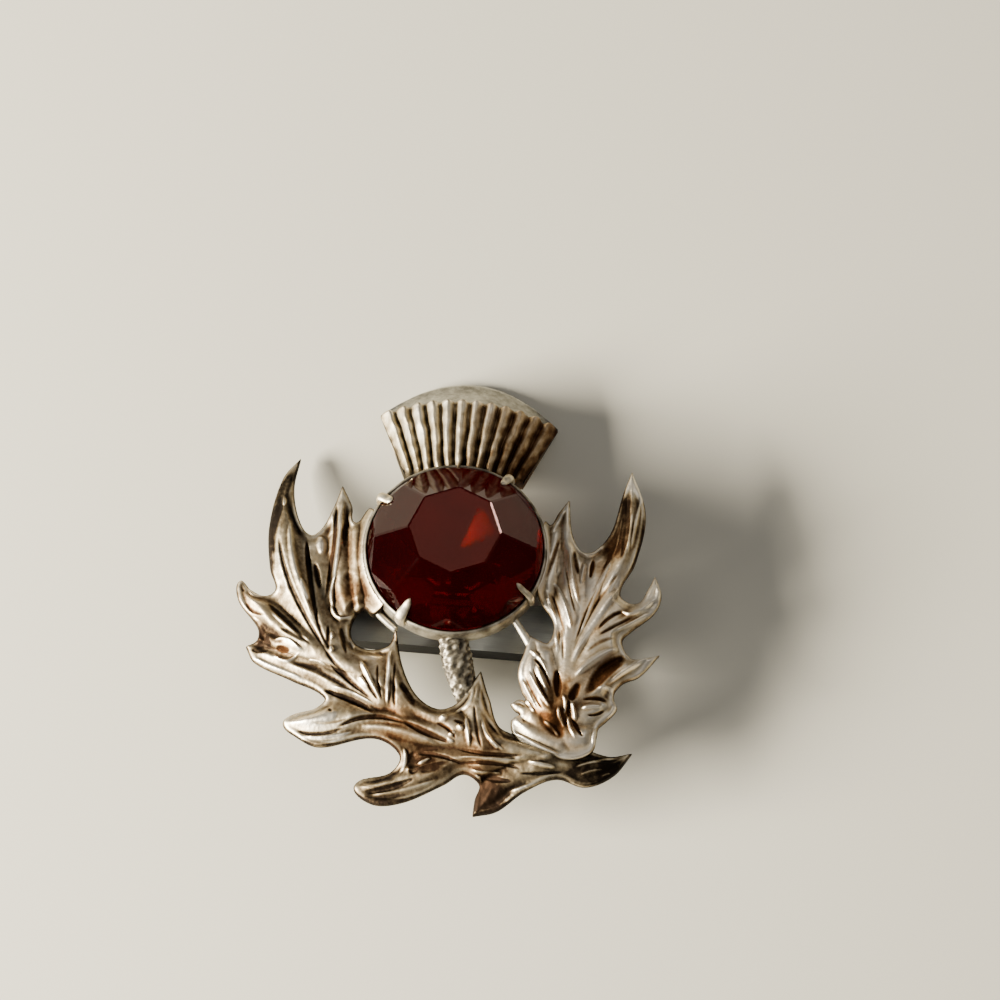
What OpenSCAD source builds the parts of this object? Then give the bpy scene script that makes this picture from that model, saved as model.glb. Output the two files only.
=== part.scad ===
// Thistle brooch: a round faceted stone in a clawed collet.
// A ribbed flower stands above it and two leaves curl round it.
// The brooch is modelled face up with the girdle of its stone level, X to the right and Y to the flower.
// It is then laid down as it rests on a table, on its hinge, its catch and the back rim of its flower.

/* [Stone] */
// Diameter of the stone at its girdle
stone_d = 18; // [16:0.5:18.5]
// Diameter of the eight-sided table, from corner to corner
table_d = 9.5; // [8:0.5:11]
// Height of the faceted top, from the girdle to the table
crown_h = 4.8; // [3:0.2:5.4]
// Depth of the faceted back, from the girdle to its tip
pavilion_h = 4.2; // [3:0.2:4.4]
// Thickness of the girdle
girdle_t = 0.4; // [0.2:0.1:0.6]
// Height of the girdle's lower edge above the pin's lowest point
girdle_z = 8.2; // [8:0.1:9]

/* [Collet] */
// Thickness of the collet's wall
collet_wall = 0.5; // [0.4:0.05:0.8]
// Height of the collet's lower edge
collet_z = 6.5; // [6.2:0.1:7]
// Width of the ledge under the stone
ledge_w = 1.1; // [0.8:0.1:1.6]
// Gap between the stone and the metal that holds it
stone_gap = 0.08; // [0.05:0.01:0.2]
// Thickness of a claw
claw_d = 0.9; // [0.7:0.1:1.2]
// Direction of the first claw, seen from the front
claw_angle = 59; // [50:1:70]

/* [Flower] */
// Number of ribs on the flower
rib_count = 12; // [8:1:14]
// Width of the flower where it meets the collet
flower_low_w = 12.4; // [10:0.2:14]
// Width of the flower at the rib ends
flower_top_w = 18.6; // [16:0.2:20]
// Distance from the stone's centre to the start of the ribs
flower_low_y = 8.9; // [8.6:0.1:9.4]
// Distance from the stone's centre to the rib ends
flower_top_y = 16.4; // [15:0.2:18]
// How far the rib ends fall back from the middle of the flower to its corners
corner_drop = 0.8; // [0:0.1:1.2]
// How far the back rim bulges past the rib ends
rim_bulge = 3.5; // [2:0.1:4]
// How far the middle of the flower rises above its corners
flower_rise = 3.3; // [2:0.1:4]

/* [Leaves] */
// Thickness of a leaf at its edge
leaf_edge = 0.9; // [0.7:0.05:1.4]
// Sections along each lobe
lobe_steps = 6; // [4:1:8]

/* [Back bar and pin] */
// Length of the bar
bar_l = 28; // [24:1:30]
// Width of the bar
bar_w = 5.4; // [4.6:0.2:6]
// Thickness of the bar
bar_t = 1.1; // [0.8:0.1:1.2]
// Height of the turned-down lip along the bar's lower edge
lip_h = 2.2; // [1.5:0.1:2.4]
// Thickness of that lip
lip_t = 0.8; // [0.6:0.1:1]
// Distance from the stone's centre down to the bar's lower edge
bar_low = 9.3; // [9:0.1:10]
// Height of the bar's underside
bar_z = 3.0; // [2.8:0.1:3.2]
// Diameter of the pin wire
pin_d = 0.9; // [0.7:0.1:1.1]
// Distance between the rivet and the middle of the catch
pin_span = 22; // [18:1:24]
// Outer radius of the catch
catch_r = 1.6; // [1.5:0.1:1.8]
// Radius of the hinge ears
ear_r = 1.4; // [1.3:0.1:1.5]
// Thickness of each hinge ear
ear_t = 0.8; // [0.6:0.1:1]
// Radius of the rivet
rivet_r = 0.4; // [0.3:0.05:0.5]

/* [Hidden] */
running_gap = 0.1;
post_gap = 0.05;
post_r = 1.0;
post_x = 12.2;
post_top_z = 6.6;
catch_w = 2.6;
catch_wall = 0.6;
eye_wall = 0.7;
point_l = 3;
point_r = 0.08;
past_catch = 1;
back_z = 4.2;
table_sides = 8;
girdle_sides = 48;
culet_r = 1.2;
break_part = 0.84;
claw_reach = 1.1;
claw_out = 0.1;
claw_foot = 0.4;
claw_clear = 0.62;
claw_tip_part = 0.6;
roof_flat = 0.3;
root_rise = 0.35;
rise_start = 0.25;
rim_step = 0.1;
low_edge_h = 2.2;
low_rise = 1.6;
rib_flat = 0.6;
ring_sides = 64;
round_sides = 48;
rod_sides = 32;
post_sides = 24;
bead_sides = 8;
stone_r = stone_d / 2;
seat_r = stone_r + stone_gap;
collet_r = seat_r + collet_wall;
girdle_top = girdle_z + girdle_t;
ledge_top = girdle_z - pavilion_h * ledge_w / stone_r - stone_gap;
pin_y = -bar_low + bar_w / 2;
rim_y = flower_top_y + rim_bulge + rim_step;
crown_run = stone_r - table_d / 2 * cos(180 / table_sides);

// The brooch leans about the X axis until the catch and the back rim of the flower are level.
lean_reach = sqrt(pow(rim_y - pin_y, 2) + pow(back_z - catch_r, 2));
lean = asin(catch_r / lean_reach) + atan2(back_z - catch_r, rim_y - pin_y);
rest_lift = rim_y * sin(lean) - back_z * cos(lean);

// Each lobe runs from its root by its bend to its tip.
// Columns of those three: x, y, height of the back, half-width.
// The last column is the height of the lobe's midrib above its edges.
LEFT_LOBES = [
    // main rib from the right-hand point through the bottom leaf
    [[11, -20.8, 4.4, 1.6], [1, -19.4, 4.8, 2.2], [-8, -13.0, 4.6, 1.8], 1.1],
    // stalk of the left-pointing blade
    [[5, -20.2, 4.4, 1.6], [-2, -18.2, 4.6, 1.7], [-9, -17.9, 4.0, 1.5], 1.0],
    // tall outer lobe
    [[-6, -15.5, 4.4, 2.2], [-21.2, -4.0, 4.6, 3.2], [-17.1, 10.4, 3.4, 0.2], 1.2],
    // inner lobe beside the collet
    [[-6.5, -13.5, 4.5, 2.0], [-12.2, -7.0, 5.0, 2.8], [-12.3, 7.2, 5.2, 0.2], 1.1],
    // web between those two
    [[-8, -11.0, 4.5, 1.8], [-14.4, -5.0, 4.6, 2.2], [-14.3, 2.2, 4.6, 1.0], 0.5],
    // cheek that joins the inner lobe to the collet
    [[-9.0, -6.2, 5.6, 1.1], [-10.0, -1.5, 6.0, 1.8], [-10.4, 3.0, 6.2, 0.3], 0.7],
    // upper left lobe
    [[-9, -13.0, 4.6, 2.0], [-17.5, -10.3, 4.6, 2.8], [-21.9, -3.9, 2.8, 0.35], 1.0],
    // small point under it
    [[-14, -11.3, 4.2, 1.6], [-18, -10.6, 3.7, 1.2], [-20.0, -8.6, 3.0, 0.3], 0.6],
    // lower left lobe
    [[-8, -14.0, 4.2, 1.8], [-14, -13.9, 3.4, 2.7], [-20.4, -10.8, 2.4, 0.35], 1.0],
    // left-pointing blade
    [[-7.4, -17.8, 4.0, 1.5], [-11.5, -18.0, 3.4, 3.5], [-15.9, -18.6, 2.4, 0.3], 1.0],
    // long lower lobe
    [[7, -21.0, 4.2, 1.5], [0, -23.0, 3.2, 1.9], [-7.6, -24.7, 1.8, 0.8], 1.0],
    // web that closes the bay above the long lower lobe
    [[6, -20.6, 4.3, 1.6], [0, -21.0, 3.9, 1.8], [-2.3, -22.6, 3.3, 1.1], 0.6],
    // lowest point
    [[10.5, -20.8, 4.0, 1.6], [6.3, -22.8, 2.8, 2.6], [4.1, -26.4, 1.4, 0.4], 0.9],
    // dark right-hand point
    [[8.5, -20.8, 4.2, 1.6], [15.4, -22.4, 3.4, 2.2], [19.6, -19.0, 3.0, 0.3], 0.8],
    // upright lobe in the middle
    [[4.6, -20.5, 4.6, 3.2], [3.0, -16.5, 4.8, 1.6], [3.8, -12.4, 5.0, 0.3], 0.9],
    // small upright lobe beside the left gap
    [[-3.5, -17.0, 4.6, 2.7], [-5.2, -13.2, 4.8, 1.8], [-5.5, -8.9, 5.4, 0.35], 0.9],
];
RIGHT_LOBES = [
    // tall outer lobe
    [[11.5, -16.0, 5.2, 2.2], [19.4, -4.0, 6.8, 3.7], [17.5, 9.6, 8.4, 0.2], 1.2],
    // inner lobe beside the collet
    [[12.5, -15.0, 5.2, 2.0], [12.6, -3.5, 6.2, 2.6], [11.2, 7.0, 6.8, 0.2], 1.1],
    // web between those two
    [[12.5, -13.0, 5.4, 1.8], [14.4, -6.0, 6.4, 2.4], [14.2, 0.8, 6.8, 1.2], 0.5],
    // cheek that joins the inner lobe to the collet
    [[9.3, -3.9, 6.0, 1.2], [10.0, 0.0, 6.4, 1.8], [10.0, 3.6, 6.5, 0.4], 0.7],
    // upper right lobe
    [[13, -13.0, 5.4, 2.0], [19.6, -5.6, 6.8, 2.3], [20.9, -0.9, 7.4, 0.3], 1.0],
    // lower right lobe
    [[13, -15.0, 5.2, 1.9], [17, -11.4, 6.0, 2.5], [21.5, -9.3, 6.2, 0.3], 1.0],
    // blunt point under it
    [[13, -16.0, 5.0, 1.8], [15.5, -15.6, 5.2, 2.0], [17.5, -14.4, 5.2, 0.7], 0.8],
    // lowest blunt point
    [[11.5, -18.0, 4.8, 1.9], [14.5, -18.8, 5.0, 1.8], [16.2, -17.6, 5.0, 0.6], 0.7],
    // upper short point on the left
    [[11, -18.0, 5.0, 1.6], [9.0, -16.4, 5.2, 1.2], [7.3, -15.3, 5.0, 0.35], 0.6],
    // lower short point on the left
    [[12, -19.2, 4.8, 1.6], [9.0, -18.4, 5.0, 1.6], [7.4, -17.0, 4.8, 0.5], 0.7],
    // fluted lobe that meets the short strut
    [[11.2, -17.0, 5.2, 1.9], [8.8, -12.7, 5.8, 1.7], [8.2, -8.9, 6.0, 0.6], 1.0],
    // flank of that lobe under the right gap
    [[11.6, -16.0, 5.2, 1.8], [10.4, -12.2, 5.9, 1.7], [9.9, -9.0, 6.2, 0.8], 0.8],
];
// The stem and the two short struts, in the same columns
STEM = [[0.5, -8.7, 6.2, 1.3], [1.0, -11.0, 5.0, 1.45], [3.0, -16.5, 4.6, 1.3], 1.2];
STRUTS = [
    [[-8.4, -5.6, 5.6, 0.5], [-7.2, -7.6, 5.4, 0.5], [-5.6, -9.4, 5.2, 0.5], 0.2],
    [[6.6, -6.6, 6.2, 0.5], [7.5, -7.7, 6.0, 0.5], [8.5, -9.2, 6.0, 0.6], 0.2],
];

// Point, half-width and direction of travel of a lobe at t, from 0 at its root to 1 at its tip
function along(lobe, t) = lobe[0] * pow(1 - t, 2) + lobe[1] * 2 * t * (1 - t) + lobe[2] * pow(t, 2);
function heading(lobe, t) =
    let (d = (lobe[1] - lobe[0]) * (1 - t) + (lobe[2] - lobe[1]) * t)
    atan2(d[1], d[0]);
function edge(lobe, t, side) =
    let (p = along(lobe, t), a = heading(lobe, t))
    [p[0] - side * p[3] * sin(a), p[1] + side * p[3] * cos(a), p[2]];

// Outermost edge points of the leaves, from which the resting brooch is centred on its origin
EDGES = [
    for (lobe = concat(LEFT_LOBES, RIGHT_LOBES), step = [0:lobe_steps], side = [-1, 1])
        edge(lobe, step / lobe_steps, side)
];
min_x = min([for (p = EDGES) p[0]]);
max_x = max([for (p = EDGES) p[0]]);
min_y = min([for (p = EDGES) p[1] * cos(lean) + p[2] * sin(lean)]);
max_y = rim_y * cos(lean) + (back_z + leaf_edge) * sin(lean);

// Lays the brooch down on the plane z = 0, centred on the origin
module at_rest() {
    translate([-(min_x + max_x) / 2, -(min_y + max_y) / 2, rest_lift])
        rotate([-lean, 0, 0])
            children();
}

// Points evenly round a circle at one height
function ring(r, z, count) = [
    for (i = [0:count - 1]) [r * cos(i * 360 / count), r * sin(i * 360 / count), z]
];

// Convex solid round a set of points
module solid_round(points) {
    hull()
        polyhedron(points = points, faces = [[for (i = [0:len(points) - 1]) i]]);
}

// One cross-section of a lobe: a flat back, upright edges and a roof that rises to the midrib
function lobe_section(lobe, t) =
    let (
        p = along(lobe, t),
        a = heading(lobe, t),
        rise = lobe[3] * (root_rise + (1 - root_rise) * sin(180 * (rise_start + (1 - rise_start) * t)))
    )
    [
        for (corner = [
            [-1, 0], [-1, leaf_edge], [-roof_flat, leaf_edge + rise],
            [roof_flat, leaf_edge + rise], [1, leaf_edge], [1, 0],
        ])
            [p[0] - corner[0] * p[3] * sin(a), p[1] + corner[0] * p[3] * cos(a), p[2] + corner[1]]
    ];

module lobe(row) {
    for (step = [0:lobe_steps - 1])
        solid_round(concat(
            lobe_section(row, step / lobe_steps),
            lobe_section(row, (step + 1) / lobe_steps)
        ));
}

// Long leaf that runs from the right-hand point along the bottom and up the left side
module left_leaf() {
    for (row = LEFT_LOBES) lobe(row);
}

// Shorter leaf that stands higher, up the right side
module right_leaf() {
    for (row = RIGHT_LOBES) lobe(row);
}

// Round posts on the backs of the leaves, which the bar is fixed to
module bar_posts() {
    bar_top = bar_z + bar_t;
    for (side = [-1, 1])
        translate([side * post_x, pin_y, bar_top + post_gap])
            cylinder(h = post_top_z - bar_top - post_gap, r = post_r, $fn = post_sides);
}

// Stem from the collet down behind the middle lobe, with the struts that tie both leaves to the collet
module stem() {
    lobe(STEM);
    for (row = STRUTS) lobe(row);
}

// Height of the flower's face above its back, at a place from -1 to 1 across it
function flower_height(across, edge_h, rise) = edge_h + rise * (1 - pow(across, 2));
function rib_end_y(across) = flower_top_y - corner_drop * pow(across, 2);

// Slice of the flower from the collet to its back rim, which bulges in the middle
function flower_section(across) =
    let (
        low_x = across * flower_low_w / 2,
        top_x = across * flower_top_w / 2,
        low_h = flower_height(across, low_edge_h, low_rise),
        top_h = flower_height(across, leaf_edge, flower_rise),
        rim = rib_end_y(across) + rim_bulge * (1 - pow(across, 2)) + rim_step
    )
    [
        [low_x, flower_low_y, back_z],
        [low_x, flower_low_y, back_z + low_h],
        [top_x, rib_end_y(across), back_z + top_h],
        [top_x, rim, back_z + leaf_edge],
        [top_x, rim, back_z],
    ];

// Body of the flower: its face, and the smooth cap that slopes from the rib ends down to the back rim
module flower_body() {
    for (i = [0:rib_count - 1])
        solid_round(concat(
            flower_section(i * 2 / rib_count - 1),
            flower_section((i + 1) * 2 / rib_count - 1)
        ));
}

// Fan of rounded ribs
module ribs() {
    low_r = flower_low_w / rib_count / 2;
    top_r = flower_top_w / rib_count / 2;
    for (i = [0:rib_count - 1]) {
        across = (i * 2 + 1) / rib_count - 1;
        low_z = back_z + flower_height(across, low_edge_h, low_rise);
        top_z = back_z + flower_height(across, leaf_edge, flower_rise);
        hull() {
            translate([across * flower_low_w / 2, flower_low_y, low_z])
                sphere(r = low_r, $fn = bead_sides);
            translate([across * flower_top_w / 2, rib_end_y(across), top_z])
                scale([1, 1, rib_flat])
                    sphere(r = top_r, $fn = bead_sides);
        }
    }
}

// Thin wall round the girdle, with a ledge under the stone
module collet() {
    translate([0, 0, collet_z])
        cylinder(h = girdle_top - collet_z, r = collet_r, $fn = ring_sides);
}

// Room for the stone and the open back of the collet
module seat_space() {
    translate([0, 0, ledge_top])
        cylinder(h = stone_d, r = seat_r, $fn = ring_sides);
    cylinder(h = stone_d, r = stone_r - ledge_w, $fn = ring_sides);
}

// Claw that rises outside the collet and bends over the edge of the stone
module claw() {
    slope = crown_h / crown_run;
    claw_r = collet_r + claw_out;
    tip_z = girdle_top + claw_clear + (claw_reach + claw_out) * slope;
    path = [
        [claw_r, collet_z + claw_foot, claw_d],
        [claw_r, girdle_top, claw_d],
        [claw_r - claw_d / 3, girdle_top + claw_clear, claw_d],
        [stone_r - claw_reach, tip_z, claw_d * claw_tip_part],
    ];
    for (i = [0:len(path) - 2]) {
        hull() {
            for (p = [path[i], path[i + 1]]) {
                translate([p[0], 0, p[1]])
                    sphere(d = p[2], $fn = bead_sides);
            }
        }
    }
}

module thistle_casting() {
    color("silver")
        at_rest() {
            difference() {
                union() {
                    left_leaf();
                    right_leaf();
                    stem();
                    bar_posts();
                    flower_body();
                    ribs();
                    collet();
                }
                seat_space();
            }
            for (i = [0:3]) {
                rotate([0, 0, claw_angle + 90 * i])
                    claw();
            }
        }
}

// Round stone: a flat table, eight main facets, sixteen smaller ones where they meet the girdle, and a pavilion
module stone() {
    break_r = stone_r * break_part;
    break_z = girdle_top + (stone_r - break_r * cos(180 / table_sides)) * crown_h / crown_run;
    table_ring = ring(table_d / 2, girdle_top + crown_h, table_sides);
    break_ring = ring(break_r, break_z, table_sides);
    girdle_rings = concat(ring(stone_r, girdle_top, girdle_sides), ring(stone_r, girdle_z, girdle_sides));
    culet_ring = ring(culet_r, girdle_z - pavilion_h * (1 - culet_r / stone_r), table_sides);
    color("darkred")
        at_rest()
            solid_round(concat(table_ring, break_ring, girdle_rings, culet_ring));
}

// Flat bar with a turned-down lip, two hinge ears with their rivet, and a catch
module back_bar() {
    hinge_x = -pin_span / 2;
    catch_x = pin_span / 2;
    ear_gap = pin_d + running_gap * 2;
    ear_foot = bar_z + bar_t / 2 - catch_r;
    color("gray")
        at_rest() {
            difference() {
                union() {
                    translate([-bar_l / 2, -bar_low, bar_z])
                        cube([bar_l, bar_w, bar_t]);
                    translate([-bar_l / 2, -bar_low, bar_z + bar_t - lip_h])
                        cube([bar_l, lip_t, lip_h]);
                    for (side = [-1, 1]) {
                        ear_y = pin_y + side * (ear_gap + ear_t) / 2;
                        translate([hinge_x, ear_y, catch_r])
                            rotate([90, 0, 0])
                                cylinder(h = ear_t, r = ear_r, center = true, $fn = round_sides);
                        translate([hinge_x - ear_r, ear_y - ear_t / 2, catch_r])
                            cube([ear_r * 2, ear_t, ear_foot]);
                    }
                    translate([hinge_x, pin_y, catch_r])
                        rotate([90, 0, 0])
                            cylinder(h = ear_gap + ear_t, r = rivet_r, center = true, $fn = rod_sides);
                    translate([catch_x - catch_w / 2, pin_y, catch_r])
                        rotate([0, 90, 0])
                            cylinder(h = catch_w, r = catch_r, $fn = round_sides);
                    translate([catch_x - catch_w / 2, pin_y - catch_r, catch_r])
                        cube([catch_w, catch_wall, ear_foot]);
                }
                translate([catch_x - catch_w, pin_y, catch_r])
                    rotate([0, 90, 0])
                        cylinder(h = catch_w * 2, r = catch_r - catch_wall, $fn = round_sides);
                translate([catch_x - catch_w, pin_y, catch_r])
                    cube([catch_w * 2, catch_r * 2, bar_z - catch_r]);
            }
        }
}

// Needle with a round eye about the rivet and a sharp point past the catch
module pin_needle() {
    hinge_x = -pin_span / 2;
    eye_r = rivet_r + running_gap + eye_wall;
    shaft_l = pin_span + past_catch;
    color("lightgray")
        at_rest()
            translate([hinge_x, pin_y, catch_r])
                difference() {
                    union() {
                        rotate([90, 0, 0])
                            cylinder(h = pin_d, r = eye_r, center = true, $fn = round_sides);
                        rotate([0, 90, 0])
                            cylinder(h = shaft_l, r = pin_d / 2, $fn = rod_sides);
                        translate([shaft_l, 0, 0])
                            rotate([0, 90, 0])
                                cylinder(h = point_l, r1 = pin_d / 2, r2 = point_r, $fn = rod_sides);
                    }
                    rotate([90, 0, 0])
                        cylinder(h = pin_d * 2, r = rivet_r + running_gap, center = true, $fn = rod_sides);
                }
}

thistle_casting();
stone();
back_bar();
pin_needle();
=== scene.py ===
import math

import bmesh
import bpy
import numpy as np
from mathutils import Matrix, Vector
from mathutils.bvhtree import BVHTree
from mathutils.geometry import delaunay_2d_cdt
from mathutils.kdtree import KDTree


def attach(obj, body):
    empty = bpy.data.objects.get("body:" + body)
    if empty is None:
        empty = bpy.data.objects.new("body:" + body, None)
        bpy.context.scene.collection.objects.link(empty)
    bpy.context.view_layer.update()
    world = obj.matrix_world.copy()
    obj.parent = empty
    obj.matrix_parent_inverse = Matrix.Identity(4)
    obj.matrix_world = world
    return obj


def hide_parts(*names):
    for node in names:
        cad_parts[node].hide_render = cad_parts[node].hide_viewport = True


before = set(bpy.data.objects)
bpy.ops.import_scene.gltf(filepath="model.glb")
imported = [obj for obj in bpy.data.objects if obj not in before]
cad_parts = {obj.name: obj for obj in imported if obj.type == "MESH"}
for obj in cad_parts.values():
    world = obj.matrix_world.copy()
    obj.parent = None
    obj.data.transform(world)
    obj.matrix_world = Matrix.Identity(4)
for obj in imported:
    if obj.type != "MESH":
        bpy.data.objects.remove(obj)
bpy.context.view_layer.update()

MM = 0.001

# The brooch is built in its own frame, in millimetres, and laid down as the source does it: it leans
# back about X and is shifted.
LEAN = math.radians(9.01467)
REST_SHIFT = np.array([0.280775, 2.75424, -1.01437])

# Sizes of the source, in millimetres
STONE_R = 9.0
TABLE_R = 4.75
GIRDLE_Z = 8.2
GIRDLE_TOP = 8.6
CROWN_H = 4.8
PAVILION_H = 4.2
SEAT_R = 9.08
COLLET_R = 9.58
COLLET_Z = 6.5
LEDGE_W = 1.1
BACK_Z = 4.2
LEAF_EDGE = 0.9

# Each lobe runs from its root by its bend to its tip. Columns of those three: x, y, height of the back,
# half-width. The last column is the height of the midrib above the edges.
LEFT_LOBES = [
    ((11, -20.8, 4.4, 1.6), (1, -19.4, 4.8, 2.2), (-8, -13, 4.6, 1.8), 1.1),
    ((5, -20.2, 4.4, 1.6), (-2, -18.2, 4.6, 1.7), (-9, -17.9, 4, 1.5), 1),
    ((-6, -15.5, 4.4, 2.2), (-21.2, -4, 4.6, 3.2), (-17.1, 10.4, 3.4, 0.2), 1.2),
    ((-6.5, -13.5, 4.5, 2), (-12.2, -7, 5, 2.8), (-12.3, 7.2, 5.2, 0.2), 1.1),
    ((-8, -11, 4.5, 1.8), (-14.4, -5, 4.6, 2.2), (-14.3, 2.2, 4.6, 1), 0.5),
    ((-9, -6.2, 5.6, 1.1), (-10, -1.5, 6, 1.8), (-10.4, 3, 6.2, 0.3), 0.7),
    ((-9, -13, 4.6, 2), (-17.5, -10.3, 4.6, 2.8), (-21.9, -3.9, 2.8, 0.35), 1),
    ((-14, -11.3, 4.2, 1.6), (-18, -10.6, 3.7, 1.2), (-20, -8.6, 3, 0.3), 0.6),
    ((-8, -14, 4.2, 1.8), (-14, -13.9, 3.4, 2.7), (-20.4, -10.8, 2.4, 0.35), 1),
    ((-7.4, -17.8, 4, 1.5), (-11.5, -18, 3.4, 3.5), (-15.9, -18.6, 2.4, 0.3), 1),
    ((7, -21, 4.2, 1.5), (0, -23, 3.2, 1.9), (-7.6, -24.7, 1.8, 0.8), 1),
    ((6, -20.6, 4.3, 1.6), (0, -21, 3.9, 1.8), (-2.3, -22.6, 3.3, 1.1), 0.6),
    ((10.5, -20.8, 4, 1.6), (6.3, -22.8, 2.8, 2.6), (4.1, -26.4, 1.4, 0.4), 0.9),
    ((8.5, -20.8, 4.2, 1.6), (15.4, -22.4, 3.4, 2.2), (19.6, -19, 3, 0.3), 0.8),
    ((4.6, -20.5, 4.6, 3.2), (3, -16.5, 4.8, 1.6), (3.8, -12.4, 5, 0.3), 0.9),
    ((-3.5, -17, 4.6, 2.7), (-5.2, -13.2, 4.8, 1.8), (-5.5, -8.9, 5.4, 0.35), 0.9),
]
RIGHT_LOBES = [
    ((11.5, -16, 5.2, 2.2), (19.4, -4, 6.8, 3.7), (17.5, 9.6, 8.4, 0.2), 1.2),
    ((12.5, -15, 5.2, 2), (12.6, -3.5, 6.2, 2.6), (11.2, 7, 6.8, 0.2), 1.1),
    ((12.5, -13, 5.4, 1.8), (14.4, -6, 6.4, 2.4), (14.2, 0.8, 6.8, 1.2), 0.5),
    ((9.3, -3.9, 6, 1.2), (10, 0, 6.4, 1.8), (10, 3.6, 6.5, 0.4), 0.7),
    ((13, -13, 5.4, 2), (19.6, -5.6, 6.8, 2.3), (20.9, -0.9, 7.4, 0.3), 1),
    ((13, -15, 5.2, 1.9), (17, -11.4, 6, 2.5), (21.5, -9.3, 6.2, 0.3), 1),
    ((13, -16, 5, 1.8), (15.5, -15.6, 5.2, 2), (17.5, -14.4, 5.2, 0.7), 0.8),
    ((11.5, -18, 4.8, 1.9), (14.5, -18.8, 5, 1.8), (16.2, -17.6, 5, 0.6), 0.7),
    ((11, -18, 5, 1.6), (9, -16.4, 5.2, 1.2), (7.3, -15.3, 5, 0.35), 0.6),
    ((12, -19.2, 4.8, 1.6), (9, -18.4, 5, 1.6), (7.4, -17, 4.8, 0.5), 0.7),
    ((11.2, -17, 5.2, 1.9), (8.8, -12.7, 5.8, 1.7), (8.2, -8.9, 6, 0.6), 1),
    ((11.6, -16, 5.2, 1.8), (10.4, -12.2, 5.9, 1.7), (9.9, -9, 6.2, 0.8), 0.8),
]
# Stem and struts from root by bend to end: x, y, height of the back, half-width
STEM = ((0.5, -8.7, 6.2, 1.3), (1.0, -11.0, 5.0, 1.45), (3.0, -16.5, 4.6, 1.3))
STRUTS = [
    ((-8.4, -5.8, 5.8, 0.5), (-7, -7.5, 5.7, 0.5), (-5.2, -8.6, 5.5, 0.45)),
    ((6.6, -6.6, 6.2, 0.5), (7.5, -7.7, 6, 0.5), (8.5, -9.2, 6, 0.6)),
]
# Posts on the leaves' backs that carry the bar: x and height of the top
POSTS = [(-12.2, 5.4), (12.2, 6.6)]
POST_Y = -6.6
POST_LOW = 4.15
POST_R = 1.0

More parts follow.
